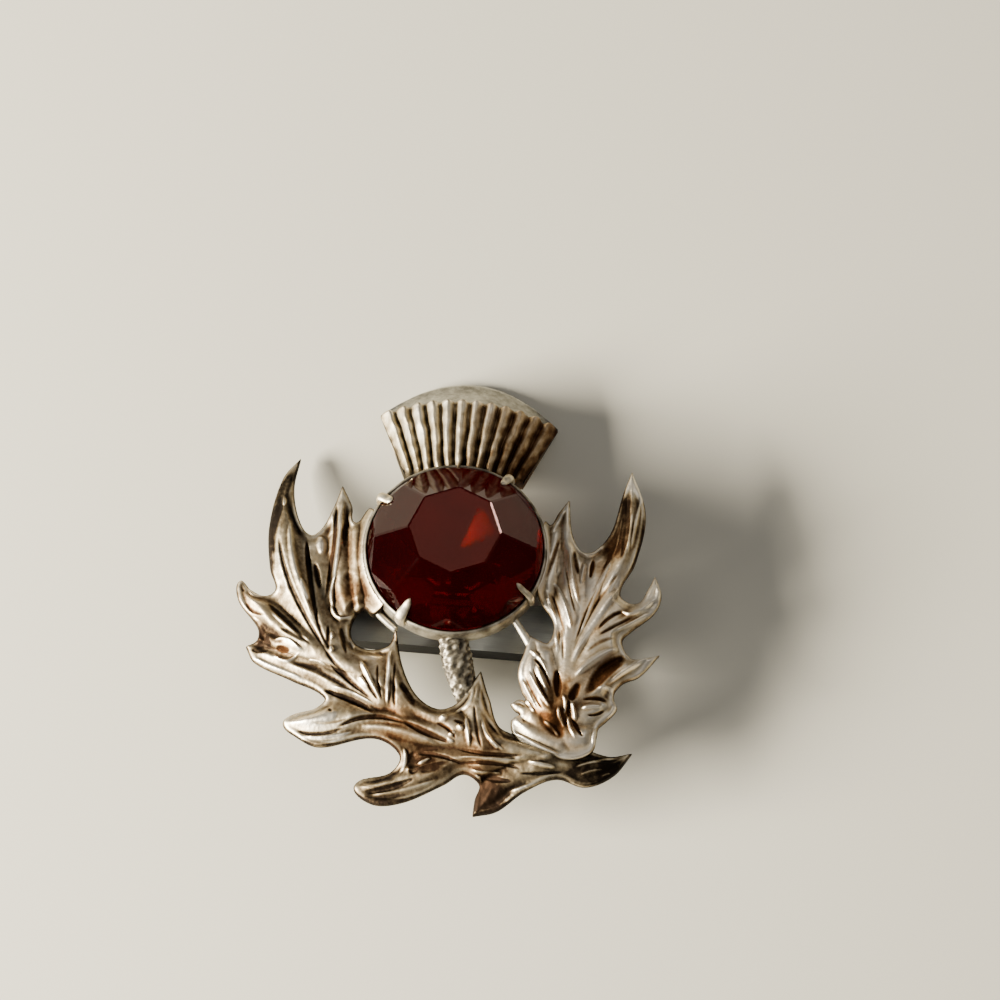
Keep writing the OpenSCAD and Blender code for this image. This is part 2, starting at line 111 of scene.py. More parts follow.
# Chased lines of the leaves. Each runs through three places. Columns: x and y of the first, the middle
# and the last, half-width, height above the leaf (below zero for a groove), and tarnish (below zero where
# it is worn bright, which also paints highlights; some dark rows paint shade, as marked). The places are
# where the lines are seen from the camera at the leaf's own level.
LEFT_LINES = [
    # tall outer lobe
    (-18.3, 6.5, -18.8, 1, -16.4, -5.5, 0.75, 0.22, -0.3),
    (-18.4, 1.6, -16.4, -4.2, -11.8, -11.2, 0.38, -0.45, 0.7),
    (-12.6, -10.2, -10, -13.2, -7, -15.6, 0.35, -0.35, 0.6),
    (-17.4, 3.5, -16.4, -1.5, -13.6, -7.8, 0.5, 0.3, -0.1),
    (-15.5, 1.2, -14.9, -2, -13.2, -8.5, 0.35, -0.4, 0.7),
    (-17.6, 8.3, -17.1, 4.2, -15.9, 1.9, 0.25, 0.22, -0.3),
    # dark margin with no height: painted shade, so the outer edge shows dark instead of mirroring the
    # window
    (-17.1, 10, -19.3, 2.6, -18.3, -4.6, 0.8, 0, 1.6),
    (-18.5, 6.1, -18.35, 5.4, -18.2, 4.8, 0.35, 0.2, -0.9),
    (-15.6, -3, -15, -4.2, -14.4, -5.6, 0.35, 0.3, -0.5),
    (-14.4, -1.2, -14, -2.5, -13.5, -4.2, 0.45, -0.35, 0.7),
    (-14.2, 1.8, -13.9, 0.8, -13.7, -0.4, 0.6, 0.25, -0.3),
    # inner lobe beside the collet
    (-12.8, 5.8, -12.6, 1, -12.9, -5.6, 0.33, -0.38, 0.7),
    (-12.1, 4.2, -12.1, 0, -12.4, -5, 0.3, 0.25, -0.3),
    (-11.5, 4.2, -11.6, 2.4, -11.4, 0.6, 0.28, -0.22, 0.5),
    (-13.2, 4.6, -13, 3, -13.3, 1.6, 0.25, 0.15, -0.1),
    (-10.7, -1.6, -10.65, -4.2, -10.5, -6.9, 1.3, -0.35, 0.12),
    (-11.9, -2, -12.3, -4.2, -11.9, -6.2, 0.28, 0.3, -0.4),
    (-12.2, -5.6, -11.6, -6.9, -10.4, -7.1, 0.28, 0.3, -0.4),
    (-11, -7.1, -9.7, -6.8, -8.3, -5.7, 0.3, 0.3, -0.4),
    (-11.8, -8.6, -11.75, -9, -11.7, -9.4, 0.3, 0.3, -0.5),
    (-11.7, -10.1, -11.65, -10.5, -11.6, -10.9, 0.3, 0.3, -0.5),
    (-12.3, -7.8, -12.1, -9.3, -12, -10.6, 0.3, -0.3, 0.6),
    (-11, -8, -10.6, -9.5, -10, -11, 0.3, -0.25, 0.5),
    (-9.4, -6.4, -9.8, -8.5, -9.3, -10.6, 0.28, 0.22, -0.3),
    (-13.6, -5.8, -13.2, -8, -11.6, -10.9, 0.28, -0.25, 0.5),
    # upper left lobe
    (-21.8, -4.1, -21.7, -4.6, -21.4, -5.2, 0.35, -0.2, 0.25),
    (-21.2, -6.1, -20.2, -7.2, -18.9, -7.3, 0.3, -0.25, 0.6),
    (-18.9, -6.1, -16.6, -7.9, -13.6, -10.4, 0.33, -0.35, 0.6),
    (-18.5, -6.9, -16.2, -8.5, -13.8, -9.9, 0.3, 0.22, -0.2),
    (-17.3, -8.6, -15.8, -9.2, -14.3, -9.9, 0.4, -0.2, 0.35),
    (-17, -10, -15.8, -10.4, -14.4, -11.1, 0.45, 0.2, -0.3),
    (-21.2, -4.3, -20.3, -5.4, -18.9, -5.2, 0.25, 0.2, -0.1),
    (-22, -5.5, -20.7, -7.5, -19.4, -8.2, 0.25, 0.15, -0.3),
    # small point under it
    # the dark grooves here paint the shade in the bay between the upper and lower left lobes
    (-19.7, -8.9, -19, -9.8, -17.9, -10.8, 0.5, -0.3, 0.9),
    (-17.5, -10.9, -16.7, -11, -15.9, -11.2, 0.5, -0.35, 1.5),
    (-17.8, -10.2, -16.2, -9.9, -14.9, -11.1, 0.28, 0.2, -0.4),
    (-17.8, -11.6, -16.2, -12.3, -14.9, -11.1, 0.28, 0.2, -0.4),
    # lower left lobe
    (-20.2, -11.3, -19.2, -11.5, -18.2, -11.2, 0.35, -0.2, 0.8),
    (-19.8, -12.3, -17.2, -13.3, -14.2, -14.1, 0.5, 0.2, -0.5),
    (-16, -12.4, -13, -13, -9, -14.9, 0.55, -0.3, 0.5),
    (-14, -12, -13, -12.1, -11.9, -12.5, 0.25, 0.2, -0.4),
    (-11.8, -12, -10.2, -13.4, -8.2, -14.9, 0.25, -0.3, 0.7),
    (-12.2, -15.1, -9.6, -15.8, -6.4, -17.1, 0.42, -0.55, 0.95),
    (-11.3, -14.6, -9, -15.2, -6.6, -16.3, 0.3, 0.25, -0.3),
    # left-pointing blade
    (-14.6, -19.7, -12.2, -19.9, -9.4, -18.8, 0.33, -0.2, 1.2),
    (-10.4, -19.1, -7.2, -17.5, -3.2, -17.9, 0.38, -0.45, 0.9),
    (-3.8, -17.6, -1.2, -18.6, 1.5, -19.6, 0.5, -0.5, 0.95),
    (-13, -18.7, -11, -18.5, -8.8, -17.7, 0.2, -0.15, 0.35),
    (-14.5, -18.7, -12, -18.2, -10.3, -17.2, 0.8, 0.15, -0.6),
    (-11.4, -17, -11.2, -17.15, -11, -17.3, 0.25, -0.25, 0.8),
    (-14, -20.3, -11, -20.1, -8.5, -19.2, 0.35, 0.25, -0.6),
    (-8.5, -18.9, -4, -18.9, 0.5, -20.3, 0.8, 0.35, -0.2),
    # dark lower edge with no height: painted shade
    (-15.4, -19.9, -12.5, -21, -7, -20, 0.3, 0, 1.3),
    # bay above the long lower lobe
    (-3.5, -20.5, -3.1, -22, -3.7, -23.6, 0.25, 0.2, -0.7),
    (-2.6, -20.9, -2.2, -22.2, -2.5, -23.4, 0.75, -0.35, 1.3),
    (-2.1, -22.3, -1.3, -21.9, -0.5, -21.4, 0.28, 0.3, -0.7),
    (-1.6, -23.1, 0, -22.6, 1.4, -22.3, 0.4, -0.1, 0.3),
    (-2, -21.2, 0.4, -21.1, 3, -21.9, 0.3, -0.3, 0.8),
    # long lower lobe
    (-7.5, -24.9, -5.8, -24.8, -4.2, -24.2, 0.3, 0.1, 0.1),
    (-7, -25.7, -4.8, -25.2, -1.8, -23.6, 0.45, -0.35, 1.4),
    (-6.6, -26.1, -3, -25.3, 0.5, -23.6, 0.5, 0.3, -0.1),
    # dark lower edge with no height: painted shade
    (-7.6, -26, -4, -26.6, 0.6, -24.6, 0.4, 0, 1.4),
    # middle of the leaf
    (0.1, -16.7, 0.4, -16.9, 0.8, -17.1, 0.5, 0.4, -0.5),
    (1.2, -18.3, 1.4, -18.5, 1.6, -18.8, 0.4, 0.3, -0.3),
    (1.9, -17.5, 2.2, -17.8, 2.5, -18.1, 0.35, 0.3, -0.3),
    (0.9, -19.2, 1.3, -19.4, 1.7, -19.5, 0.35, 0.25, -0.3),
    (-0.3, -17.6, 0.8, -17.9, 1.9, -19.1, 0.3, -0.3, 0.8),
    (1.4, -17, 2, -17.2, 2.6, -17.3, 0.25, -0.25, 0.7),
    (3.1, -13.3, 2.7, -15.2, 1.3, -16.4, 0.3, 0.25, -0.5),
    (3.9, -13.2, 4.5, -16, 7, -19, 0.3, 0.2, -0.2),
    (3.4, -15, 3.8, -17.5, 4.6, -20, 0.3, -0.25, 0.5),
    (2.6, -16.4, 3, -18.2, 3.3, -20, 0.3, 0.25, -0.3),
    (4.3, -16.5, 5.2, -18.6, 7, -20, 0.3, 0.25, -0.2),
    (5.3, -18.9, 5.8, -19.4, 6.2, -19.8, 0.25, 0.25, -0.5),
    # small upright lobe beside the left gap
    (-5.7, -9.9, -5.6, -13, -5.4, -16.3, 0.3, 0.3, -0.5),
    (-5.1, -11, -4.9, -14, -4.6, -16.4, 0.25, -0.25, 0.5),
    (-4.4, -13.4, -3.6, -14.6, -2.4, -16.2, 0.5, -0.2, 0.6),
    (-8.6, -11.4, -7.6, -13.2, -6.2, -15.6, 0.35, 0.3, -0.5),
    (-8.3, -12.8, -7.4, -14.2, -6.3, -15.7, 0.22, -0.3, 0.7),
    (-8.6, -13.2, -8.1, -13.7, -7.4, -14.3, 0.45, 0.2, -0.6),
    (-6.8, -11.6, -6.6, -13.5, -5.9, -15.8, 0.2, -0.2, 0.5),
    # right-hand end of the bottom leaf
    (1.8, -20.1, 5, -20.4, 9, -20.2, 0.3, -0.3, 0.8),
    (9.2, -20.9, 10.8, -21.1, 12.2, -21.4, 0.35, 0.3, -0.5),
    (2, -21.8, 5.5, -21.4, 8.8, -21.8, 0.28, -0.3, 0.7),
    (3.6, -22.3, 5, -22.6, 6.8, -22.4, 0.3, 0.25, -0.4),
    (2.2, -21, 5.5, -20.9, 9, -21, 0.3, 0.2, -0.2),
    (4.8, -23, 6, -23.2, 8, -23.2, 0.4, -0.3, 0.95),
    (8.5, -22.3, 10.5, -22.1, 13, -21.8, 0.25, -0.2, 0.7),
    (6.2, -24, 5.8, -25, 5, -26, 0.6, -0.15, 0.6),
    (7.6, -24.5, 9.5, -23.6, 12, -22.8, 0.3, 0.2, -0.4),
    (4, -22.9, 4.6, -23.4, 4.4, -24.3, 0.25, 0.2, -0.7),
    # dark middle of the lowest point: tarnish and a painted dark reflection where it bends away
    (4.3, -23.8, 4.5, -25.6, 4.3, -27.2, 0.6, 0, 1.3),
    (4.6, -27.2, 7, -26.2, 9.4, -24.2, 0.35, -0.15, 1.1),
    # dark right-hand point: tarnish and a painted dark reflection where it bends away; the light lines
    # after it paint highlights along its margins and middle
    (13, -21.3, 16, -21.6, 19.4, -20.2, 1.7, -0.1, 0.7),
    (14, -21.2, 15.9, -20.4, 18.6, -19.9, 0.22, 0.15, -0.8),
    (14.4, -22.1, 15.8, -21.4, 17.2, -21.2, 0.2, 0.2, -0.9),
    (16.8, -22, 17.2, -21.7, 17.8, -21.5, 0.2, 0.15, -0.7),
    (13.2, -22.4, 15.4, -23.2, 17.8, -22, 0.25, 0.15, -0.9),
]
RIGHT_LINES = [
    # tall outer lobe
    (17.5, 10.6, 18.4, 9, 18.5, 7.4, 0.35, 0.2, -0.7),
    (17.1, 8.4, 17.3, 5, 17, 1.2, 0.35, -0.35, 0.75),
    (18.5, 8, 18.2, 5, 17.9, 2.4, 0.28, 0.25, -0.4),
    (16.8, 6.2, 16.4, 3, 15.6, 0.8, 0.28, 0.25, -0.2),
    (18.9, 7, 18.8, 3, 17.7, -0.6, 0.25, -0.25, 0.7),
    (17.8, 7, 17.7, 4.2, 17.6, 1.8, 0.2, 0.15, -0.4),
    (16.4, 4, 16, 1.8, 15.2, 0, 0.25, -0.25, 0.6),
    (16.1, 1.2, 14.8, -2.4, 13.3, -8, 0.3, 0.3, -0.4),
    (16.9, -0.2, 15.7, -2.2, 14.3, -5, 0.28, -0.3, 0.5),
    (17.4, -1.8, 15, -5.2, 12.9, -10.6, 0.65, 0.5, -0.5),
    (15.1, -1.4, 14, -4.6, 12.9, -8.6, 0.22, -0.25, 0.5),
    # rim of the valley between the two tall lobes, and the V below it
    (11.9, 3.1, 13.5, 1.35, 15.2, 2.9, 0.28, 0.3, -0.7),
    (12.1, 1.9, 12.4, 0.6, 12.8, -0.9, 0.33, -0.4, 0.85),
    (14.2, 1.1, 14.1, 0, 14, -1.2, 0.33, -0.4, 0.85),
    (13.35, 0.6, 13.2, -0.6, 13.1, -1.9, 0.3, 0.3, -0.6),
    # inner lobe
    (11.3, 6.9, 11.5, 5.4, 11.9, 3.4, 0.25, 0.2, -0.5),
    (9.6, 3.4, 10.2, 4.8, 10.9, 6.4, 0.3, 0.2, -0.4),
    (10.6, 3.4, 10, 0.6, 9.4, -1.8, 0.3, -0.3, 0.5),
    (10.7, 2, 10.8, 0.4, 10.6, -1.4, 0.4, 0.2, 0.1),
    (11.6, 2, 12.2, -1, 13.2, -4.4, 0.28, 0.28, -0.3),
    (11.3, 0.2, 12, -2.4, 12.9, -5.4, 0.22, -0.25, 0.5),
    (10.3, -1.8, 11.6, -4.2, 12.6, -7, 0.35, 0.35, -0.5),
    (10, -3, 11.2, -5.2, 12, -7.8, 0.22, -0.28, 0.5),
    (9.4, -2.4, 10.6, -5.8, 11.4, -9.8, 0.3, 0.28, -0.4),
    (11.5, -6.4, 11.8, -8.4, 12, -10.4, 0.2, -0.2, 0.4),
    # upper right lobe
    (20.9, -0.9, 20.9, -2.6, 19.4, -3.9, 0.4, 0.25, -0.8),
    (19.4, -4.1, 18.4, -4.6, 17.4, -4.3, 0.25, 0.2, -0.5),
    (17.7, -4.4, 16.4, -5.1, 15.2, -6.6, 0.3, -0.4, 0.85),
    (18.7, -4.9, 17, -6, 15.3, -7.2, 0.25, -0.3, 0.6),
    (20.3, -4.4, 18.7, -5.6, 16.6, -6.9, 0.25, 0.2, -0.3),
    (17, -7.4, 15.6, -7.9, 14.2, -9.2, 0.3, -0.2, 0.4),
    # lower right lobe: broad bright rib above a dark hollow
    (17.6, -8.5, 15.4, -9.7, 13.2, -12, 0.6, 0.35, -0.7),
    (18.5, -9.5, 16.4, -11, 14.4, -14.2, 1, -0.6, 0.9),
    (17.8, -9.9, 16.2, -11.3, 14.9, -13.4, 0.8, -0.2, 0.7),
    (20.9, -9, 18.9, -10.4, 16.6, -12.6, 0.35, 0.35, -0.6),
    # blunt point
    (15.6, -12.9, 16.8, -13, 17.3, -14, 0.35, 0.2, -0.4),
    (17.4, -14, 17.5, -15.2, 16.7, -16.3, 0.3, 0.2, -0.4),
    (14.2, -15.3, 15.3, -15, 16.4, -15, 0.35, 0.3, -0.5),
    (14.2, -14.4, 15.6, -14.1, 16.8, -14.5, 0.3, -0.35, 1),
    (14.8, -16, 15.8, -15.8, 16.6, -15.3, 0.3, -0.35, 1),
    (15.7, -17.4, 15.75, -18.4, 15.8, -19.4, 0.28, 0.3, -0.6),
    # short flutes that fan out to the left
    (9.2, -10.7, 9.9, -12.3, 10.7, -13.9, 0.28, 0.35, -0.7),
    (8.5, -11.6, 9.5, -13.4, 11.2, -15.6, 0.26, 0.35, -0.6),
    (7.9, -12.6, 8.7, -14.2, 9.8, -15.9, 0.26, 0.32, -0.6),
    (8.2, -14.3, 8.9, -15.4, 9.6, -16.2, 0.2, 0.25, -0.5),
    (8.4, -9.4, 9.6, -10.4, 10.4, -11.8, 0.28, 0.3, -0.5),
    (8.9, -11, 9.7, -12.9, 10.9, -14.7, 0.18, -0.35, 0.6),
    (8.2, -12.1, 9.2, -14, 10.4, -15.8, 0.18, -0.35, 0.6),
    (8.8, -10.3, 10, -11.4, 11, -13.6, 0.2, -0.4, 0.9),
    (12.2, -13.9, 12.6, -15, 12.5, -16.2, 0.22, 0.25, -0.5),
    (13.2, -14.6, 13.5, -15.8, 13.7, -17, 0.28, 0.35, -0.6),
    (12.9, -14.4, 12.9, -15.4, 13, -16.4, 0.22, -0.4, 1),
    # dark hollows in the middle
    (11.3, -11.2, 11.6, -12.8, 11.8, -14.4, 0.5, -0.35, 0.9),
    (13.8, -12.4, 13.4, -13.6, 13, -14.6, 0.6, -0.3, 0.9),
    (10.2, -15.6, 11.3, -17.3, 13, -18.6, 1, -0.3, 0.5),
    (10.4, -16.8, 11.4, -17.6, 12.2, -18.6, 0.3, 0.25, -0.5),
    (11.9, -15.2, 12.1, -16.4, 12.7, -17.6, 0.25, 0.25, -0.4),
    (13.4, -16.4, 13.9, -17.4, 14.7, -18.4, 0.3, -0.35, 0.9),
    (12.9, -16.2, 13.2, -17.4, 14, -18.6, 0.22, 0.25, -0.4),
    # lower edge with its bright rim
    (7.2, -18.4, 10.5, -19.9, 12.6, -20.7, 0.35, 0.35, -0.7),
    (12, -20.6, 14.2, -20.9, 15.6, -19.6, 0.35, 0.3, -0.7),
    (12.4, -19.2, 13.6, -19.6, 14.8, -19.2, 0.6, -0.15, 0.1),
    (7.5, -16.7, 7.9, -17.2, 8.3, -17.9, 0.55, 0.2, -0.9),
    (7.4, -15.5, 7.9, -15.4, 8.6, -15.8, 0.25, -0.2, 0.5),
]
# Outline of each leaf, lobe by lobe and anticlockwise, placed like the lines above. Columns: the bay
# before the lobe, places on the way out, the tip, places on the way back, and whether the tip is sharp.
LEFT_OUTLINE = [
    # upright lobe in the middle
    ((12, -18.2), [(6.5, -17.8), (4.8, -14.5)], (3.7, -11.6), [(2.9, -13), (1.6, -15.3)], True),
    # small upright lobe beside the left gap
    ((-0.3, -16.1), [(-2.6, -14.8), (-4.3, -11.8)], (-5.25, -8.2), [(-6.1, -9.8)], True),
    # cheek that runs under the collet
    ((-8.2, -10.3), [(-9.7, -9.4), (-9.9, -7.6), (-8.8, -6), (-7.7, -6.7)], (-6.6, -5.6),
     [(-8, -3), (-8.4, 2.4), (-9.1, 5)], False),
    # inner lobe
    ((-10.6, 3.6), [(-11.2, 5.4)], (-12.4, 7.6), [(-13.1, 5), (-14.1, 2.6)], True),
    # tall outer lobe
    ((-15.2, 1.8), [(-16.6, 3.4), (-17.5, 6.8)], (-17.2, 10.3),
     [(-18.8, 7.8), (-19.6, 2.5), (-19, -2.3)], True),
    # upper left lobe
    ((-18.2, -4.5), [(-19.2, -5.4), (-20.8, -4.9)], (-22.1, -4), [(-22, -6), (-20.2, -8.2)], False),
    # lower left lobe
    ((-19.5, -9.3), [(-19.6, -10.4)], (-20.7, -11.2), [(-19.6, -12.8), (-15.5, -14.4)], True),
    # left-pointing blade
    ((-12, -15.9), [(-12.8, -17.2), (-15, -18.1)], (-16, -19.2),
     [(-14.6, -20.4), (-12, -21.3), (-6.5, -19.8)], False),
    # long lower lobe
    ((-3.8, -21.4), [(-4.6, -23.5)], (-8.1, -25.2), [(-6.2, -27), (-3, -26.5), (1, -24.2)], False),
    # lowest point
    ((2.9, -22.9), [(4.5, -23.9), (4.2, -25.7)], (4.1, -27.5), [(6.5, -26.7), (9.2, -24.2)], True),
    # dark right-hand point
    ((12.2, -22.6), [(15.3, -23.2), (18, -21.8)], (19.7, -19.3), [(17.2, -19.8)], True),
]
RIGHT_OUTLINE = [
    # fluted lobe
    ((10.3, -8.5), [(9.2, -8.3)], (8.4, -7.9), [(8, -9.6), (7.5, -12), (8.1, -14.2)], True),
    # two short points
    ((8.5, -15), [(7.8, -15)], (7, -15.6), [(7.5, -16.2)], True),
    ((8, -16.6), [(7.6, -16.9)], (7.2, -17.5),
     [(7.7, -19), (9.3, -20.2), (13.2, -21), (15.6, -20)], False),
    # blunt points on the lower right
    ((16, -18.2), [(16.1, -17.4), (16.8, -16.6)], (17.8, -15.2), [(17.5, -14.4)], False),
    # lower right lobe
    ((17.4, -13.5), [(18.2, -12.3), (19.8, -11.4)], (21.7, -8.9), [(20.2, -9.4), (18.8, -9.5)], True),
    # upper right lobe
    ((17.8, -7.8), [(18.6, -6.6), (20.8, -4.4), (21.4, -2.4)], (20.6, -0.3),
     [(20.1, -1.6), (18.9, -3.5)], True),
    # tall outer lobe
    ((17.2, -2.6), [(18.5, 1), (19.15, 6.4)], (17.4, 11.1), [(16.7, 8.6), (15.6, 3.8)], True),
    # inner lobe
    ((13.4, 1.6), [(11.9, 3.3)], (11.2, 7.4), [(10.2, 5.8)], True),
    # edge under the collet
    ((9.5, 4.4), [(8.9, 4.6), (8.5, 1)], (8.8, -3.6), [(10.7, -6.4)], False),
]

# Broad stains and worn patches, some of which are painted light. Columns: x, y, radius, tarnish (below
# zero where it is worn bright, which also paints highlights) and warmth of its brown.
LEFT_STAINS_AND_SHADING = [
    (-8, -10, 16, 0.03, 0.15),
    # tarnish and a painted dark reflection on the dark right-hand point, which bends away
    (16.2, -21.2, 3.2, 0.45, 0.1),
    (-4, -18.4, 3, 0.25, 0.8),
    (4, -20.6, 3.2, 0.2, 0.6),
    (-0.9, -22, 1.6, 0.45, 0.3),
    (-5, -25.6, 2.6, 0.4, 0.1),
    # tarnish and a painted dark reflection on the lowest point, which bends away
    (5.2, -25.4, 2.6, 0.8, 0.2),
    (-18.9, 5.4, 2.2, 0.4, 0),
    (-15.8, -6.4, 1.8, 0.15, 0),
    # painted shadow in the bay between the upper and lower left lobes
    (-18.9, -9.9, 1.3, 0.9, 0.2),
    (-14, 0.6, 1.5, -0.3, 0.2),
    (-11.2, 0.6, 3, 0.1, 0.4),
    (-10.6, -4.4, 1.5, 0.12, 0.5),
    (-8.8, -3.6, 1.6, 0.3, 0.2),
    (-8.4, -6, 1.2, 0.2, 0),
    (-16.7, -11, 0.8, 0, 1),
    (-12.8, -18.9, 2.8, -0.4, 0),
    (-17.4, -13.2, 2.2, -0.2, 0),
    (-7.6, -11.8, 2, -0.15, 0.4),
    (0.8, -17.6, 1.4, -0.25, 0.6),
    (-20.4, -5.8, 1.8, -0.1, 0.6),
]
RIGHT_STAINS_AND_SHADING = [
    (18.1, 9, 1.1, -0.4, 0),
    (14, -6, 14, 0, 0.4),
    (17.1, 7.6, 1.3, 1, 0.1),
    (18.2, -4.9, 1, 0.5, 0.5),
    (15.3, -6.4, 1.3, 0.3, 0.3),
    (14.4, 0.1, 0.8, 0.5, 0.6),
    (17, 4.6, 1.7, 1, 0.2),
    (16.3, 2.4, 1.6, 0.8, 0.4),
    (11.8, -13.2, 1.3, 0.45, 1),
    (11.7, -16.7, 1.6, 0.45, 1),
    (10.6, 5.4, 1.3, 0.35, 0.2),
    (10.4, 1.6, 2, 0.05, 0.6),
    (14.2, -1.4, 2.6, -0.15, 0.6),
    (11.6, -6, 2.2, -0.1, 0.5),
    (16.4, -11.2, 1.8, 0.4, 1),
    (10.6, -16, 2, 0.35, 1),
    (13.2, -13.6, 2, 0.25, 1),
    (9, -12.2, 1.8, -0.15, 0.5),
    (12.6, -17.8, 1.6, 0.3, 0.9),
    (13.6, -19.9, 1.6, -0.2, 0.3),
    (19.8, -3.2, 1.6, -0.2, 0),
    (19.6, -10, 1.4, -0.15, 0),
]

# Height at which each leaf's outline and lines were placed, how far a height shifts them up the picture,
# and how high above the leaf's back they are taken to lie
LEFT_LEVEL = 4.5
RIGHT_LEVEL = 6.0
SIGHT_SLOPE = 0.426
SEEN_RISE = 0.6
# Distance between the points of the outline and between those inside it, on the front and on the back
OUTLINE_SPACING = 0.13
FRONT_SPACING = 0.088
BACK_SPACING = 0.5
# How firmly the higher of two folds wins where they meet, and how far inside the edge both are full
FOLD_BLEND = 4
FOLD_START = 1.3
EDGE_ROUND = 0.3
# Rolled rim along a leaf's edge and the furrow inside it: distance from the edge, width and height
RIM_AT, RIM_WIDTH, RIM_RISE = 0.38, 0.16, 0.08
FURROW_AT, FURROW_WIDTH, FURROW_DEPTH = 0.85, 0.28, 0.1
# How far the ridges and grooves of the tables are carried out, and the most that both may reach
RIDGE_HEIGHT, RIDGE_MOST = 1.0, 0.6
GROOVE_DEPTH, GROOVE_MOST = 0.6, 0.7
# Where a leaf meets the collet it rises in a skirt to the collet's rim. Inside the collet it stays low.
SKIRT_Z = 7.95
SKIRT_FALL = 1.1
SKIRT_R = 9.35
UNDER_RIM = 7.9
# Rows down the wall of a leaf: part of the height that is left, and how far out of the outline it lies
WALL_ROWS = [(0.8, 0.03), (0.5, 0.03), (0.22, -0.03), (0.0, -0.14)]
# Tarnish of a leaf: on its back and wall, where the dark wall is also painted shade, at its edge, where it
# is also painted shade along the outline, how far the lines' tarnish and wear are carried out, which also
# paint shade and highlights, and wear of its rim
BACK_TARNISH_AND_SHADE = 0.95
EDGE_TARNISH_AND_SHADE = 0.8
LINE_TARNISH_AND_SHADE, LINE_WEAR_AND_HIGHLIGHT = 0.6, 0.7
RIM_WEAR = 0.14
# Fine and broad hollows: rounds of easing that find them, their depth, and the tarnish that they add
HOLLOWS = [(8, 0.035, 0.2), (60, 0.2, 0.28)]
# Number of waves that make up the unevenness, and the height that their sum seldom passes
WAVES = 14
WAVES_PEAK = 5.0


def to_world(points):
    """Points in the brooch's own frame, in millimetres, to the shared frame, in metres."""
    p = np.asarray(points, float)
    c, s = math.cos(LEAN), math.sin(LEAN)
    turned = np.column_stack([p[:, 0], p[:, 1] * c + p[:, 2] * s, -p[:, 1] * s + p[:, 2] * c])
    return (turned + REST_SHIFT) * MM


def smoothstep(low, high, value):
    t = np.clip((value - low) / (high - low), 0, 1)
    return t * t * (3 - 2 * t)


def bell(value, middle, width):
    """1 at the middle, falling off smoothly to both sides over about the width."""
    return np.exp(-((value - middle) / width) ** 2)


def lumps(points, size, seed):
    """Smooth unevenness, mostly between -1 and 1, with lumps of about that size, from crossed waves."""
    rng = np.random.default_rng(seed)
    out = np.zeros(len(points))
    for _ in range(WAVES):
        way = rng.normal(size=3)
        way /= np.linalg.norm(way)
        length = size * rng.uniform(0.7, 1.6)
        phase = rng.uniform(0, 2 * math.pi)
        out += np.sin(points @ way * (2 * math.pi / length) + phase)
    return out / WAVES_PEAK


def bent(start, control, end, t):
    """Curve from start to end, drawn towards the control place."""
    t = t[:, None]
    return start * (1 - t) ** 2 + control * 2 * t * (1 - t) + end * t * t


def lobe_curve(row, t):
    """Place, height of the back and half-width of a lobe at each t."""
    root, bend, tip = (np.array(p, float) for p in row[:3])
    return bent(root, bend, tip, t)


def near_curve(x, y, curve):
    """Distance from each place to the curve, and how far along the curve its nearest point is."""
    gap = np.full(len(x), 1e9)
    part = np.zeros(len(x))
    count = len(curve) - 1
    for i in range(count):
        step = curve[i + 1] - curve[i]
        t = np.clip(((x - curve[i, 0]) * step[0] + (y - curve[i, 1]) * step[1]) / (step @ step), 0, 1)
        reach = np.hypot(x - curve[i, 0] - t * step[0], y - curve[i, 1] - t * step[1])
        closer = reach < gap
        gap[closer] = reach[closer]
        part[closer] = (i + t[closer]) / count
    return gap, part


def line_field(x, y, rows):
    """Height, and tarnish with painted shade and highlights, that the chased lines give at each place. A
    line is narrower towards its ends.
    """
    height = np.zeros(len(x))
    tarnish_and_shade = np.zeros(len(x))
    steps = np.linspace(0, 1, 13)
    for ax, ay, mx, my, bx, by, half, rise, dark in rows:
        start, middle, end = np.array([(ax, ay), (mx, my), (bx, by)], float)
        curve = bent(start, 2 * middle - (start + end) / 2, end, steps)
        low, high = curve.min(0) - half, curve.max(0) + half
        near = np.nonzero((x > low[0]) & (x < high[0]) & (y > low[1]) & (y < high[1]))[0]
        if not len(near):
            continue
        gap, part = near_curve(x[near], y[near], curve)
        u = np.clip(gap / (half * (0.4 + 0.6 * np.sin(np.pi * part))), 0, 1)
        fade = smoothstep(0, 0.2, part) * (1 - smoothstep(0.8, 1, part))
        height[near] += rise * (0.2 * (1 - u) + 0.8 * (1 - u * u) ** 2) * fade
        tarnish_and_shade[near] += dark * (1 - u * u) * fade
    return height, tarnish_and_shade


def leaf_outline(rows):
    """The outline as close points, smooth through every place of the table but the sharp tips."""
    places, sharp = [], []
    for bay, way_out, tip, way_back, is_sharp in rows:
        places.extend([bay, *way_out, tip, *way_back])
        sharp.extend([False] * (1 + len(way_out)) + [is_sharp] + [False] * len(way_back))
    places = np.array(places, float)
    chords = np.roll(places, -1, axis=0) - np.roll(places, 1, axis=0)
    chords /= np.linalg.norm(chords, axis=1, keepdims=True)
    curve = []
    for i in range(len(places)):
        k = (i + 1) % len(places)
        a, b = places[i], places[k]
        length = np.linalg.norm(b - a)
        straight = (b - a) / length
        leave = (straight if sharp[i] else chords[i]) * length
        arrive = (straight if sharp[k] else chords[k]) * length
        steps = max(2, math.ceil(length / OUTLINE_SPACING))
        t = np.arange(steps)[:, None] / steps
        curve.append(a * (2 * t ** 3 - 3 * t ** 2 + 1) + leave * (t ** 3 - 2 * t ** 2 + t)
                     + b * (3 * t ** 2 - 2 * t ** 3) + arrive * (t ** 3 - t ** 2))
    return np.concatenate(curve)


